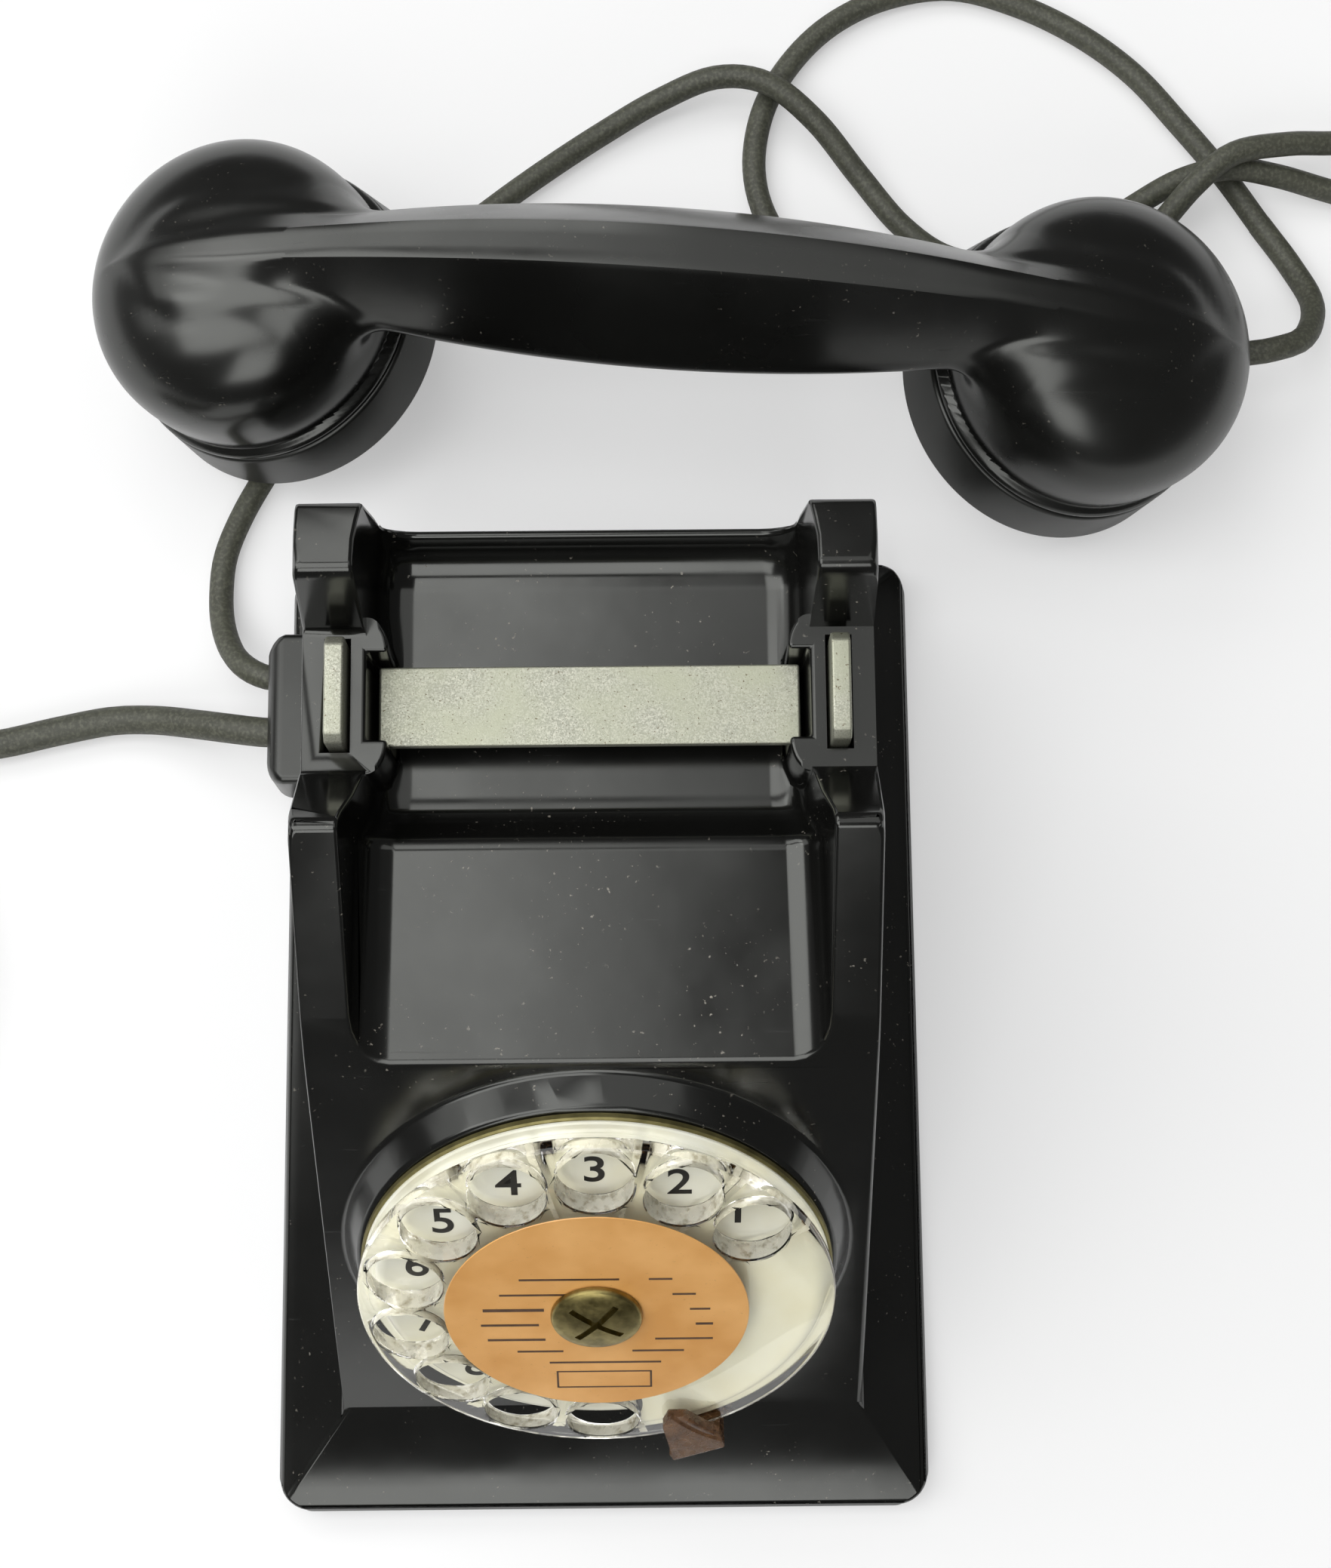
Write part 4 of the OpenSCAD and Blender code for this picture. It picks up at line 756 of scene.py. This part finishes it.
def shell_stations():
    """Section planes along the shell, as an origin and a direction each: across the grip, and
    fanned round a pivot in the crook under it over each dome to the plane of its cap."""
    inner = CUT_R + 3.5
    px = FACE_X + CUT_UP * SIN_TILT - inner * COS_TILT
    pz = FACE_Z + CUT_UP * COS_TILT + inner * SIN_TILT
    end = 90 + math.degrees(CAPSULE_TILT)
    fan = np.concatenate([np.linspace(0, end - 9, 72)[1:], np.linspace(end - 9, end, 34)[1:]])
    fan = np.radians(fan)
    left = [((-px, 0, pz), (-math.sin(f), 0, math.cos(f))) for f in fan[::-1]]
    middle = [((s, 0, pz), (0, 0, 1)) for s in np.linspace(-px, px, 64)]
    right = [((px, 0, pz), (math.sin(f), 0, math.cos(f))) for f in fan]
    return left + middle + right


def ridge_columns(centre, direction):
    """Angle of the ridge's edge in each section, so that a row of points runs along it."""
    lo, hi = np.zeros(len(centre)), np.full(len(centre), 90.0)
    for _ in range(HALVINGS + 14):
        mid = (lo + hi) / 2
        at = centre + direction * mid[:, None]
        above = at[:, 2] > ridge_height(at[:, 0])
        over = above | (np.abs(at[:, 0]) > TIP_X)
        hi, lo = np.where(over, mid, hi), np.where(over, lo, mid)
    at = centre + direction * lo[:, None]
    half = ridge_half(np.clip(at[:, 0], -TIP_X, TIP_X))
    return np.maximum(np.arctan2(half, lo), math.radians(2.2))


def shell_skin():
    """Points and faces of the handset's shell, in the handset's own frame."""
    rows = shell_stations()
    origin = np.array([r[0] for r in rows], float)
    direction = np.array([r[1] for r in rows], float)
    near = surface_along(origin, direction, RAY_FAR, 400, False)
    far = RAY_FAR - surface_along(origin + direction * RAY_FAR, -direction, RAY_FAR, 400, False)
    centre = origin + direction * ((near + far) / 2)[:, None]
    edge = ridge_columns(centre, direction)
    angles = []
    for e in edge:
        sides = e + (math.pi - e) * np.linspace(0, 1, SIDE_COLUMNS + 1)[1:]
        half = np.concatenate([np.linspace(0, e, RIDGE_COLUMNS // 2 + 1), sides])
        angles.append(np.concatenate([half, -half[1:-1][::-1]]))
    angles = np.array(angles)
    across = np.array([0.0, 1.0, 0.0])
    rays = np.cos(angles)[..., None] * direction[:, None, :] + np.sin(angles)[..., None] * across
    start = np.repeat(centre[:, None, :], angles.shape[1], axis=1)
    reach = surface_along(start, rays, RAY_UP, 150, True)
    points = start + rays * reach[..., None]
    n = points.shape[1]
    ends = []
    for ring, sign in ((points[0], -1), (points[-1], 1)):
        axis = np.array([sign * SIN_TILT, 0, COS_TILT])
        middle = np.array([sign * FACE_X, 0, FACE_Z]) + axis * CUT_UP
        out = ring - middle
        out -= np.outer(out @ axis, axis)
        out /= np.linalg.norm(out, axis=1)[:, None]
        ends.append([middle + out * NECK_R, middle - axis * 4 + out * NECK_R])
    rings = [ends[0][1], ends[0][0]] + list(points) + ends[1]
    faces = tube_faces(len(rings), n)
    faces += [tuple(range(n)), tuple((len(rings) - 1) * n + k for k in reversed(range(n)))]
    return np.concatenate(rings), faces


# ---- Sizes and colours that a user may change ------------------------------


def colour_of(name, what, code):
    """A colour that the user may change."""
    return bpy.props.FloatVectorProperty(name=name, description="Colour of " + what, min=0, max=1,
                                         subtype="COLOR", size=4, default=linear(code))


def number(name, what, low, high, value):
    """A number that the user may change."""
    return bpy.props.FloatProperty(name=name, description=what, min=low, max=high, default=value)


class TelephoneFinish(bpy.types.PropertyGroup):
    """Colours and gloss of the telephone's finishes."""

    bakelite: colour_of("Bakelite", "the black moulding", "#0f0f0e")
    cord: colour_of("Cord", "the cords' rubber sheath", "#47483d")
    card: colour_of("Label", "the printed card in the dial", "#ecb46e")
    enamel: colour_of("Number plate", "the enamelled number plate", "#e6e6da")
    gloss_low: number("Polish", "Roughness of the moulding at its best polish", 0.02, 1, 0.13)
    gloss_high: number("Haze", "Roughness of the moulding where it is hazy", 0.02, 1, 0.25)


class TelephoneSizes(bpy.types.PropertyGroup):
    """Sizes of details that the solids leave plain."""

    edge: number("Moulded edge", "Width of the rounded edges of the body, in mm", 0.1, 1.5, 0.7)
    digit: number("Digit height", "Height of the digits on the number plate, in mm", 3, 8, 6.5)
    digit_circle: number("Digit circle", "Radius of the circle of digits, in mm", 28, 34, 31.5)
    countersink: number("Hole chamfer", "Chamfer round each finger hole, in mm", 0.1, 1, 0.35)


# ---- Repeated and printed pieces -------------------------------------------

CAPITAL_SHARE = 0.72
INK_BOLD = 0.1
INK_T = 0.03


def placed_on_circle(name, pattern, count, radius, start, step, finish):
    """Copies of a pattern round a circle, by a geometry tree, as a plain mesh."""
    given = {"Pattern": ("Object", pattern), "Count": ("Int", count),
             "Radius": ("Float", radius * MM), "Start": ("Float", math.radians(start)),
             "Step": ("Float", math.radians(step)), "Finish": ("Material", finish_of(finish))}
    tree = bpy.data.node_groups.new("copies_on_a_circle", "GeometryNodeTree")
    for way in ("INPUT", "OUTPUT"):
        tree.interface.new_socket("Geometry", in_out=way, socket_type="NodeSocketGeometry")
    keys = {label: tree.interface.new_socket(label, in_out="INPUT",
                                             socket_type="NodeSocket" + kind).identifier
            for label, (kind, _) in given.items()}
    held = add(tree, "NodeGroupInput").outputs
    index = add(tree, "GeometryNodeInputIndex").outputs[0]
    angle = calc(tree, "MULTIPLY_ADD", index, held["Step"], held["Start"])
    spot = add(tree, "ShaderNodeCombineXYZ",
               X=calc(tree, "MULTIPLY", calc(tree, "COSINE", angle), held["Radius"]),
               Y=calc(tree, "MULTIPLY", calc(tree, "SINE", angle), held["Radius"]))
    points = add(tree, "GeometryNodePoints", Count=held["Count"], Position=spot.outputs[0])
    thing = add(tree, "GeometryNodeObjectInfo", Object=held["Pattern"])
    turned = add(tree, "ShaderNodeCombineXYZ", Z=angle)
    copies = add(tree, "GeometryNodeInstanceOnPoints", Points=points.outputs[0],
                 Instance=thing.outputs["Geometry"], Rotation=turned.outputs[0])
    real = add(tree, "GeometryNodeRealizeInstances", Geometry=copies.outputs[0])
    coated = add(tree, "GeometryNodeSetMaterial", Geometry=real.outputs[0],
                 Material=held["Finish"])
    add(tree, "NodeGroupOutput", Geometry=coated.outputs[0])
    obj = linked(name, bpy.data.meshes.new(name))
    repeat = obj.modifiers.new("repeat", "NODES")
    repeat.node_group = tree
    for label, (_, value) in given.items():
        repeat[keys[label]] = value
    baked(obj)
    bpy.data.objects.remove(pattern)
    return obj


def printed(name, text, height_mm, place, finish, body):
    """Plain characters as thin printed ink, as a mesh at its place."""
    curve = bpy.data.curves.new(name, "FONT")
    curve.body = text
    curve.size = height_mm / CAPITAL_SHARE * MM
    curve.align_x = "CENTER"
    curve.align_y = "CENTER"
    curve.offset = INK_BOLD * MM
    curve.extrude = INK_T * MM
    holder = linked(name + "_outline", curve)
    mesh = evaluated(holder)
    bpy.data.objects.remove(holder)
    return seated(linked(name, mesh), place, finish, body, 0)


def joined(name, parts, finish, body):
    """Several meshes made into one piece."""
    bm = bmesh.new()
    for part in parts:
        bm.from_mesh(part.data)
    mesh = bpy.data.meshes.new(name)
    bm.to_mesh(mesh)
    bm.free()
    for part in parts:
        bpy.data.objects.remove(part)
    return finished(linked(name, mesh), finish, body)


def coat(finish, *nodes):
    """Gives solids whose shapes are right their finish."""
    for node in nodes:
        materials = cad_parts[node].data.materials
        materials.clear()
        materials.append(finish_of(finish))


# ---- Operators: one for each piece or group of like pieces -----------------


class CameraOperator(bpy.types.Operator):
    """Places the camera over the dial."""

    bl_idname = "telephone.camera"
    bl_label = "Camera"

    def execute(self, context):
        data = bpy.data.cameras.new("camera")
        data.sensor_fit = "VERTICAL"
        data.sensor_height = SENSOR_H
        data.lens = FOCAL_PX * data.sensor_height / FRAME_H_PX
        data.clip_start = 0.01
        data.clip_end = 20
        camera = linked("camera", data)
        camera.matrix_world = camera_matrix()
        context.scene.camera = camera
        return {"FINISHED"}


class HandsetCordOperator(bpy.types.Operator):
    """Lays the handset's cord from the gland to the handset's sleeve."""

    bl_idname = "telephone.handset_cord"
    bl_label = "Handset cord"

    def execute(self, context):
        route = laid(HANDSET_ROUTE, HANDSET_CORD_D)
        resting = smooth_path(route[: LAST_STRETCH + 1])
        last = smooth_path(route)[len(resting) - 1 :]
        cord = cord_curve("handset_cord_sheath", resting, HANDSET_CORD_D, "cord", "base")
        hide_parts("handset_cord")
        riser = cord_mesh("handset_cord_end", last, HANDSET_CORD_D, "cord")
        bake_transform(riser)
        return {"FINISHED"}


class LineCordOperator(bpy.types.Operator):
    """Lays the line cord, its stored turns, their tie and the plug."""

    bl_idname = "telephone.line_cord"
    bl_label = "Line cord"

    def execute(self, context):
        path = smooth_path(laid(LINE_ROUTE, LINE_CORD_D) + coil_turns()[1:-1]
                           + laid(TAIL_ROUTE, LINE_CORD_D), 0.003)
        cord = cord_curve("line_cord_sheath", path, LINE_CORD_D, "cord", "base")
        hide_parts("line_cord", "cord_coil")
        tie = from_node("line_cord_tie", "cord_tie", "feet_rubber", "base", 0.15)
        plug = from_node("line_plug_moulding", "line_plug", "phenolic", "base", 0.4)
        pins = from_node("line_plug_pins", "plug_pins", "brass", "base", 0.3)
        return {"FINISHED"}


class BodyOperator(bpy.types.Operator):
    """Dresses the moulded body, its base plate, feet, screws and cord gland."""

    bl_idname = "telephone.body"
    bl_label = "Body"

    def execute(self, context):
        edge = context.scene.telephone_sizes.edge
        from_node("body_moulding", "housing", "phenolic", "base", edge, 3, 28, 2.0, 0.1)
        from_node("cord_gland_moulding", "cord_gland", "gland", "base", 1.6, 4, 30, 1.0, 0.1)
        from_node("base_plate_sheet", "base_plate", "steel", "base", 0.2)
        from_node("base_feet", "feet", "feet_rubber", "base", 0.5, 3)
        from_node("base_screw_heads", "base_screws", "steel", "base", 0.15)
        return {"FINISHED"}


class HookOperator(bpy.types.Operator):
    """Dresses the hook lever, its springs, bracket and contacts."""

    bl_idname = "telephone.hook"
    bl_label = "Hook"

    def execute(self, context):
        from_node("hook_lever_plate", "hook_lever", "nickel", "hook", 0.45, 3)
        coat("steel", "hook_springs", "hook_bracket", "bracket_screws")
        coat("fibre", "contact_stack")
        coat("bell_brass", "contact_blades")
        return {"FINISHED"}


class RingerOperator(bpy.types.Operator):
    """Finishes the ringer and the circuit parts inside the body."""

    bl_idname = "telephone.ringer"
    bl_label = "Ringer"

    def execute(self, context):
        from_node("left_gong", "gong_left", "bell_brass", "base", 0.2)
        from_node("right_gong", "gong_right", "bell_brass", "base", 0.2)
        coat("steel", "gong_posts", "gong_screws", "bell_frame", "bell_yoke", "bell_pivot")
        coat("copper", "bell_coils", "induction_coil")
        coat("magnet", "bell_magnet")
        coat("bell_brass", "clapper", "terminal_screws")
        coat("tin", "capacitor")
        coat("fibre", "terminal_block")
        return {"FINISHED"}


# Sizes on the dial in mm. Heights start at the face of its ring.
PLATE_Z = 2.7
RING_R = 41.0
DIGIT_ANGLES = (40, 63, 89.6, 116.7, 144.4, 168, 197.2, 225.6, 252.7, 280)
DIGIT_DROP = 0.5
STOP_TOP = 10.34
STOP_GROOVE = ((12.4, -27.4), (13.6, -29.2), (15.5, -31.25), (17.7, -33.2), (19.9, -34.6),
               (22.9, -36.0))
GROOVE_D = 0.0011
WHEEL_Z = 3.6
WHEEL_R = 41.2
WHEEL_TOP = 6.5
WHEEL_MID_R = 26.5
WHEEL_MID_Z = 8.5
BORE_R = 3.05
HOLE_R = 6.5
HOLE_CIRCLE_R = 33.3
HOLE_START = 37.6
HOLE_STEP = 25.9
HOLE_COUNT = 10
LABEL_R = 26.2
LABEL_Z = 8.75
# Rules on the label: x from and to, y and width.
LABEL_RULES = (
    (-13, 4, 9.6, 0.5), (9, 13, 9.6, 0.5), (-16.5, -1, 5.4, 0.5), (13, 17, 5.4, 0.5),
    (-19.5, -9, 1.2, 0.8), (16, 19.5, 1.2, 0.5), (-20, -10, -3, 0.6), (17, 20, -3, 0.6),
    (-19, -9, -7.2, 0.6), (10, 20, -7.2, 0.5), (-14, -6, -10.6, 0.5), (6, 15, -10.6, 0.5),
    (-8.5, 11, -13.9, 0.5), (-7.2, 9.2, -16.6, 0.35), (-7.2, 9.2, -21.2, 0.35),
    (-7.38, -7.02, -18.9, 4.9), (9.02, 9.38, -18.9, 4.9),
)
SCREW_R = 7.9
SCREW_TOP = 2.52
SLOT_W = 1.2
SLOT_Z = 1.2
SLOT_TURNS = (52, -38)


class DialPlateOperator(bpy.types.Operator):
    """Makes the dial's ring, its enamelled plate with the digits, and the finger stop."""

    bl_idname = "telephone.dial_plate"
    bl_label = "Dial plate"

    def execute(self, context):
        sizes = context.scene.telephone_sizes
        rim = [(30.4, -1.5), (RING_R - 0.3, -1.5), (RING_R, -1.2), (RING_R, -0.3),
               (RING_R - 0.3, 0), (30.4, 0)]
        ring = revolved("dial_ring_rim", rim, DIAL_AT, "olive_brass", "base", 160)
        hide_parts("dial_ring")
        dish = [(5.0, PLATE_Z - 0.8), (35.6, PLATE_Z - 0.8), (37.4, 0.02), (40.5, 0.02),
                (40.5, 0.35), (40.2, 0.6)]
        dish += arc(39.4, 1.4, 0.8, -90, -150, 4) + arc(36.4, PLATE_Z - 2.2, 2.2, 14, 90, 8)
        plate = revolved("number_plate_enamel", dish + [(5.0, PLATE_Z)], DIAL_AT, "enamel",
                         "base", 160)
        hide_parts("number_plate")
        for digit, degrees in zip("1234567890", DIGIT_ANGLES):
            angle = math.radians(degrees)
            spot = Matrix.Translation((sizes.digit_circle * math.cos(angle),
                                       sizes.digit_circle * math.sin(angle) - DIGIT_DROP,
                                       PLATE_Z + INK_T))
            printed("plate_digit_" + digit, digit, sizes.digit, DIAL_AT @ spot, "ink", "base")
        line = [DIAL_AT @ Vector((x, y, STOP_TOP + 0.1)) * MM for x, y in STOP_GROOVE]
        groove = cord_mesh("stop_groove", smooth_path(line, 0.001), GROOVE_D, "acetate", 12)
        from_node("finger_stop_claw", "finger_stop", "acetate", "base", 0.35, 3, tools=[groove])
        return {"FINISHED"}


class FingerWheelOperator(bpy.types.Operator):
    """Makes the clear finger wheel, its printed label and the slotted screw."""

    bl_idname = "telephone.finger_wheel"
    bl_label = "Finger wheel"

    def execute(self, context):
        sizes = context.scene.telephone_sizes
        slope = WHEEL_R - 0.7
        profile = [(BORE_R, WHEEL_Z + 0.6), (23.5, WHEEL_Z + 0.6), (WHEEL_R - 0.9, WHEEL_Z),
                   (WHEEL_R - 0.25, WHEEL_Z + 0.2), (WHEEL_R, WHEEL_Z + 0.8),
                   (WHEEL_R, WHEEL_TOP - 0.7), (WHEEL_R - 0.2, WHEEL_TOP - 0.25)]
        profile += [(float(slope - (slope - WHEEL_MID_R) * t),
                     WHEEL_TOP + (WHEEL_MID_Z - WHEEL_TOP) * math.sin(math.pi / 2 * t))
                    for t in np.linspace(0, 1, 12)]
        profile += [(BORE_R, WHEEL_MID_Z)]
        wheel = revolved("finger_wheel_acrylic", profile, ORIGIN, "acrylic", None, 180)
        low, high = WHEEL_Z - 2, WHEEL_TOP + 4
        bore = [(0, low), (HOLE_R, low), (HOLE_R, high), (0, high)]
        cutter = revolved("finger_hole", bore, ORIGIN, "acrylic", None, 72)
        cut(wheel, outward(placed_on_circle("finger_holes", cutter, HOLE_COUNT, HOLE_CIRCLE_R,
                                            HOLE_START, HOLE_STEP, "acrylic")))
        bevelled(outward(wheel, 0.05), sizes.countersink, 3, 50)
        seated(wheel, DIAL_AT, "acrylic", "finger_wheel", 28)
        rub_hole_walls(wheel)
        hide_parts("finger_wheel")

        disc = [(4.0, LABEL_Z - 0.25), (LABEL_R - 0.1, LABEL_Z - 0.25), (LABEL_R, LABEL_Z - 0.15),
                (LABEL_R - 0.1, LABEL_Z), (4.0, LABEL_Z)]
        label = revolved("dial_label_card", disc, DIAL_AT, "card", "finger_wheel", 128)
        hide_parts("dial_label")
        ink_z = (LABEL_Z + 0.005, LABEL_Z + 0.04)
        rules = [slab("label_rule", DIAL_AT, (x0, x1), (y - w / 2, y + w / 2), ink_z, "brown_ink")
                 for x0, x1, y, w in LABEL_RULES]
        joined("dial_label_print", rules, "brown_ink", "finger_wheel")

        head = [(0, 0), (SCREW_R - 0.3, 0), (SCREW_R, 0.3)] + arc(SCREW_R - 1.0, 0.7, 1.0, 0, 60, 4)
        head += [(SCREW_R * f, SCREW_TOP - 0.95 * (f / 0.93) ** 2)
                 for f in (0.8, 0.64, 0.48, 0.32, 0.16)]
        screw = revolved("centre_screw_head", head + [(0, SCREW_TOP)], ORIGIN, "brass", None, 96)
        reach = SCREW_R * 0.7
        cut(screw, *[slab("slot_cutter", Matrix.Rotation(math.radians(turn), 4, "Z"),
                          (-reach, reach), (-SLOT_W / 2, SLOT_W / 2), (SLOT_Z, 4.0), "brass")
                     for turn in SLOT_TURNS])
        seated(screw, DIAL_AT @ Matrix.Translation((0, 0, LABEL_Z)), "brass",
               "finger_wheel")
        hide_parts("centre_screw")
        return {"FINISHED"}


def rub_hole_walls(wheel):
    """Gives the upright walls of the finger holes their own rubbed finish."""
    wheel.data.materials.append(finish_of("hole_wall"))
    back = DIAL_AT.inverted()
    angles = [math.radians(HOLE_START + HOLE_STEP * k) for k in range(HOLE_COUNT)]
    middles = [(HOLE_CIRCLE_R * math.cos(a), HOLE_CIRCLE_R * math.sin(a)) for a in angles]
    for face in wheel.data.polygons:
        spot = back @ (face.center / MM)
        away = min(math.hypot(spot.x - x, spot.y - y) for x, y in middles)
        face.material_index = int(away < HOLE_R + 0.01)


class MovementOperator(bpy.types.Operator):
    """Finishes the dial's case and its train behind the plate."""

    bl_idname = "telephone.movement"
    bl_label = "Dial movement"

    def execute(self, context):
        coat("steel", "dial_case", "case_bridge", "dial_spindle", "pinion_shaft", "governor_shaft",
             "governor_bracket")
        coat("tin", "spring_drum")
        coat("bell_brass", "pulse_contacts", "main_gear", "worm_wheel")
        return {"FINISHED"}


def turned_cap(name, node, side, hole_r, rings):
    """One screwed cap, turned, with rings of sound holes given as (radius, count)."""
    finish = "cap_phenolic"
    profile = [(0, 2), (CAP_R - 7, 0.6), (CAP_R - 4, 0.02)] + arc(CAP_R - 1.0, 1.0, 0.96, -90, 0, 5)
    profile += arc(CAP_R - 1.7, CAP_H - 0.8, 0.8, 0, 90, 5)
    profile += [(NECK_R + 0.3, CAP_H), (NECK_R + 0.3, CAP_H - 5.5), (UNIT_R + 1, CAP_H - 5.5),
                (UNIT_R + 1, 5), (0, 5)]
    cap = revolved(name, profile, ORIGIN, finish, None, 144)
    bore = [(0, -1), (hole_r, -1), (hole_r, 7), (0, 7)]
    for radius, count in rings:
        pin = revolved("sound_hole", bore, ORIGIN, finish, None, 24)
        cut(cap, outward(placed_on_circle("sound_holes", pin, count, radius, 0, 360 / count,
                                          finish)))
    bevelled(outward(cap, 0.02), 0.2, 2, 50)
    seated(cap, capsule_at(side), finish, "handset")
    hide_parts(node)


class HandsetOperator(bpy.types.Operator):
    """Makes the handset's shell and dresses its caps, sleeve and units."""

    bl_idname = "telephone.handset"
    bl_label = "Handset"

    def execute(self, context):
        finish = "handset_phenolic"
        verts, faces = shell_skin()
        placed = [HANDSET_AT @ Vector(v) for v in verts]
        shell = piece("handset_moulding", placed, faces, finish, "handset")
        finished(outward(shell), finish, None, 24)
        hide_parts("handset_shell")
        turned_cap("ear_cap_moulding", "ear_cap", -1, 1.3, [(0, 1), (7, 6)])
        turned_cap("mouth_cap_moulding", "mouth_cap", 1, 1.1, [(0, 1), (6.5, 6), (13, 12)])
        from_node("cord_sleeve", "handset_sleeve", "sleeve_rubber", "handset", 0.3)
        coat("tin", "receiver", "microphone")
        return {"FINISHED"}


# Floor corners in metres, and lights: name, place, size, power and the point each faces.
FLOOR = ((-2, -0.2, 0), (2, -0.2, 0), (2, 2, 0), (-2, 2, 0))
FLOOR_DROP = 0.0002
ROOM_STRENGTH = 0.1
LIGHTS = (
    ("ceiling_panel", (-1.12, -0.08, 1.6), (2.2, 1.2), 26, (-1.12, -0.08, 0)),
    ("back_panel", (-1.12, 1.35, 1.6), (2.2, 1.1), 20, (-1.12, 1.35, 0)),
    ("ceiling_fill", (0.6, 0.6, 1.6), (1.2, 1.1), 3.5, (0.6, 0.6, 0)),
    ("window_panel", (-1.5, 0.5, 1.0), (0.9, 0.9), 3, (0, 0.05, 0.05)),
    ("front_panel", (-0.2, -1.1, 1.1), (0.9, 0.9), 8, (0, 0, 0.05)),
)


class StageOperator(bpy.types.Operator):
    """Sets the pale floor, the soft light and the plain white background."""

    bl_idname = "telephone.stage"
    bl_label = "Stage"

    def execute(self, context):
        scene = context.scene
        scene.view_settings.view_transform = "Standard"
        mesh = bpy.data.meshes.new("stage_floor")
        mesh.from_pydata(FLOOR, [], [(0, 1, 2, 3)])
        mesh.materials.append(finish_of("sheet"))
        floor = linked("stage_floor", mesh)
        floor.location.z = -FLOOR_DROP

        world = bpy.data.worlds.new("soft_room")
        scene.world = world
        world.use_nodes = True
        tree = world.node_tree
        tree.nodes.clear()
        # white where the camera looks past the object or through clear parts, dim for all the rest
        ray = add(tree, "ShaderNodeLightPath").outputs
        straight = calc(tree, "LESS_THAN", ray["Diffuse Depth"], 0.5)
        through = calc(tree, "MULTIPLY", straight, ray["Is Transmission Ray"])
        seen = calc(tree, "MAXIMUM", ray["Is Camera Ray"], through)
        sky = add(tree, "ShaderNodeBackground", Color=linear("#ffffff"),
                  Strength=spread(tree, seen, 0, 1, ROOM_STRENGTH, 1.0))
        add(tree, "ShaderNodeOutputWorld", Surface=sky.outputs[0])

        for name, at, size, power, toward in LIGHTS:
            data = bpy.data.lights.new(name, "AREA")
            data.shape = "RECTANGLE"
            data.size, data.size_y = size
            data.energy = power
            lamp = linked(name, data)
            lamp.location = at
            lamp.rotation_euler = (Vector(toward) - Vector(at)).to_track_quat("-Z", "Y").to_euler()
        return {"FINISHED"}


class TelephonePanel(bpy.types.Panel):
    """Lists the telephone's finishes, sizes and pieces."""

    bl_idname = "VIEW3D_PT_telephone"
    bl_label = "Telephone"
    bl_space_type = "VIEW_3D"
    bl_region_type = "UI"
    bl_category = "Telephone"

    def draw(self, context):
        for group in (context.scene.telephone_finish, context.scene.telephone_sizes):
            for key in group.__annotations__:
                self.layout.prop(group, key)
        for operator in OPERATORS:
            self.layout.operator(operator.bl_idname)


OPERATORS = (
    CameraOperator, HandsetCordOperator, LineCordOperator, BodyOperator, HookOperator,
    RingerOperator, DialPlateOperator, FingerWheelOperator, MovementOperator, HandsetOperator,
    StageOperator,
)
CLASSES = (TelephoneFinish, TelephoneSizes) + OPERATORS + (TelephonePanel,)


def register():
    """Registers the classes and hangs the two groups on the scene."""
    for item in CLASSES:
        bpy.utils.register_class(item)
    bpy.types.Scene.telephone_finish = bpy.props.PointerProperty(type=TelephoneFinish)
    bpy.types.Scene.telephone_sizes = bpy.props.PointerProperty(type=TelephoneSizes)


def unregister():
    """Takes back what register did."""
    del bpy.types.Scene.telephone_finish
    del bpy.types.Scene.telephone_sizes
    for item in reversed(CLASSES):
        bpy.utils.unregister_class(item)


def main():
    """Registers the classes, then builds every piece in order."""
    register()
    for operator in OPERATORS:
        area, action = operator.bl_idname.split(".")
        getattr(getattr(bpy.ops, area), action)()


if __name__ == "__main__":
    main()
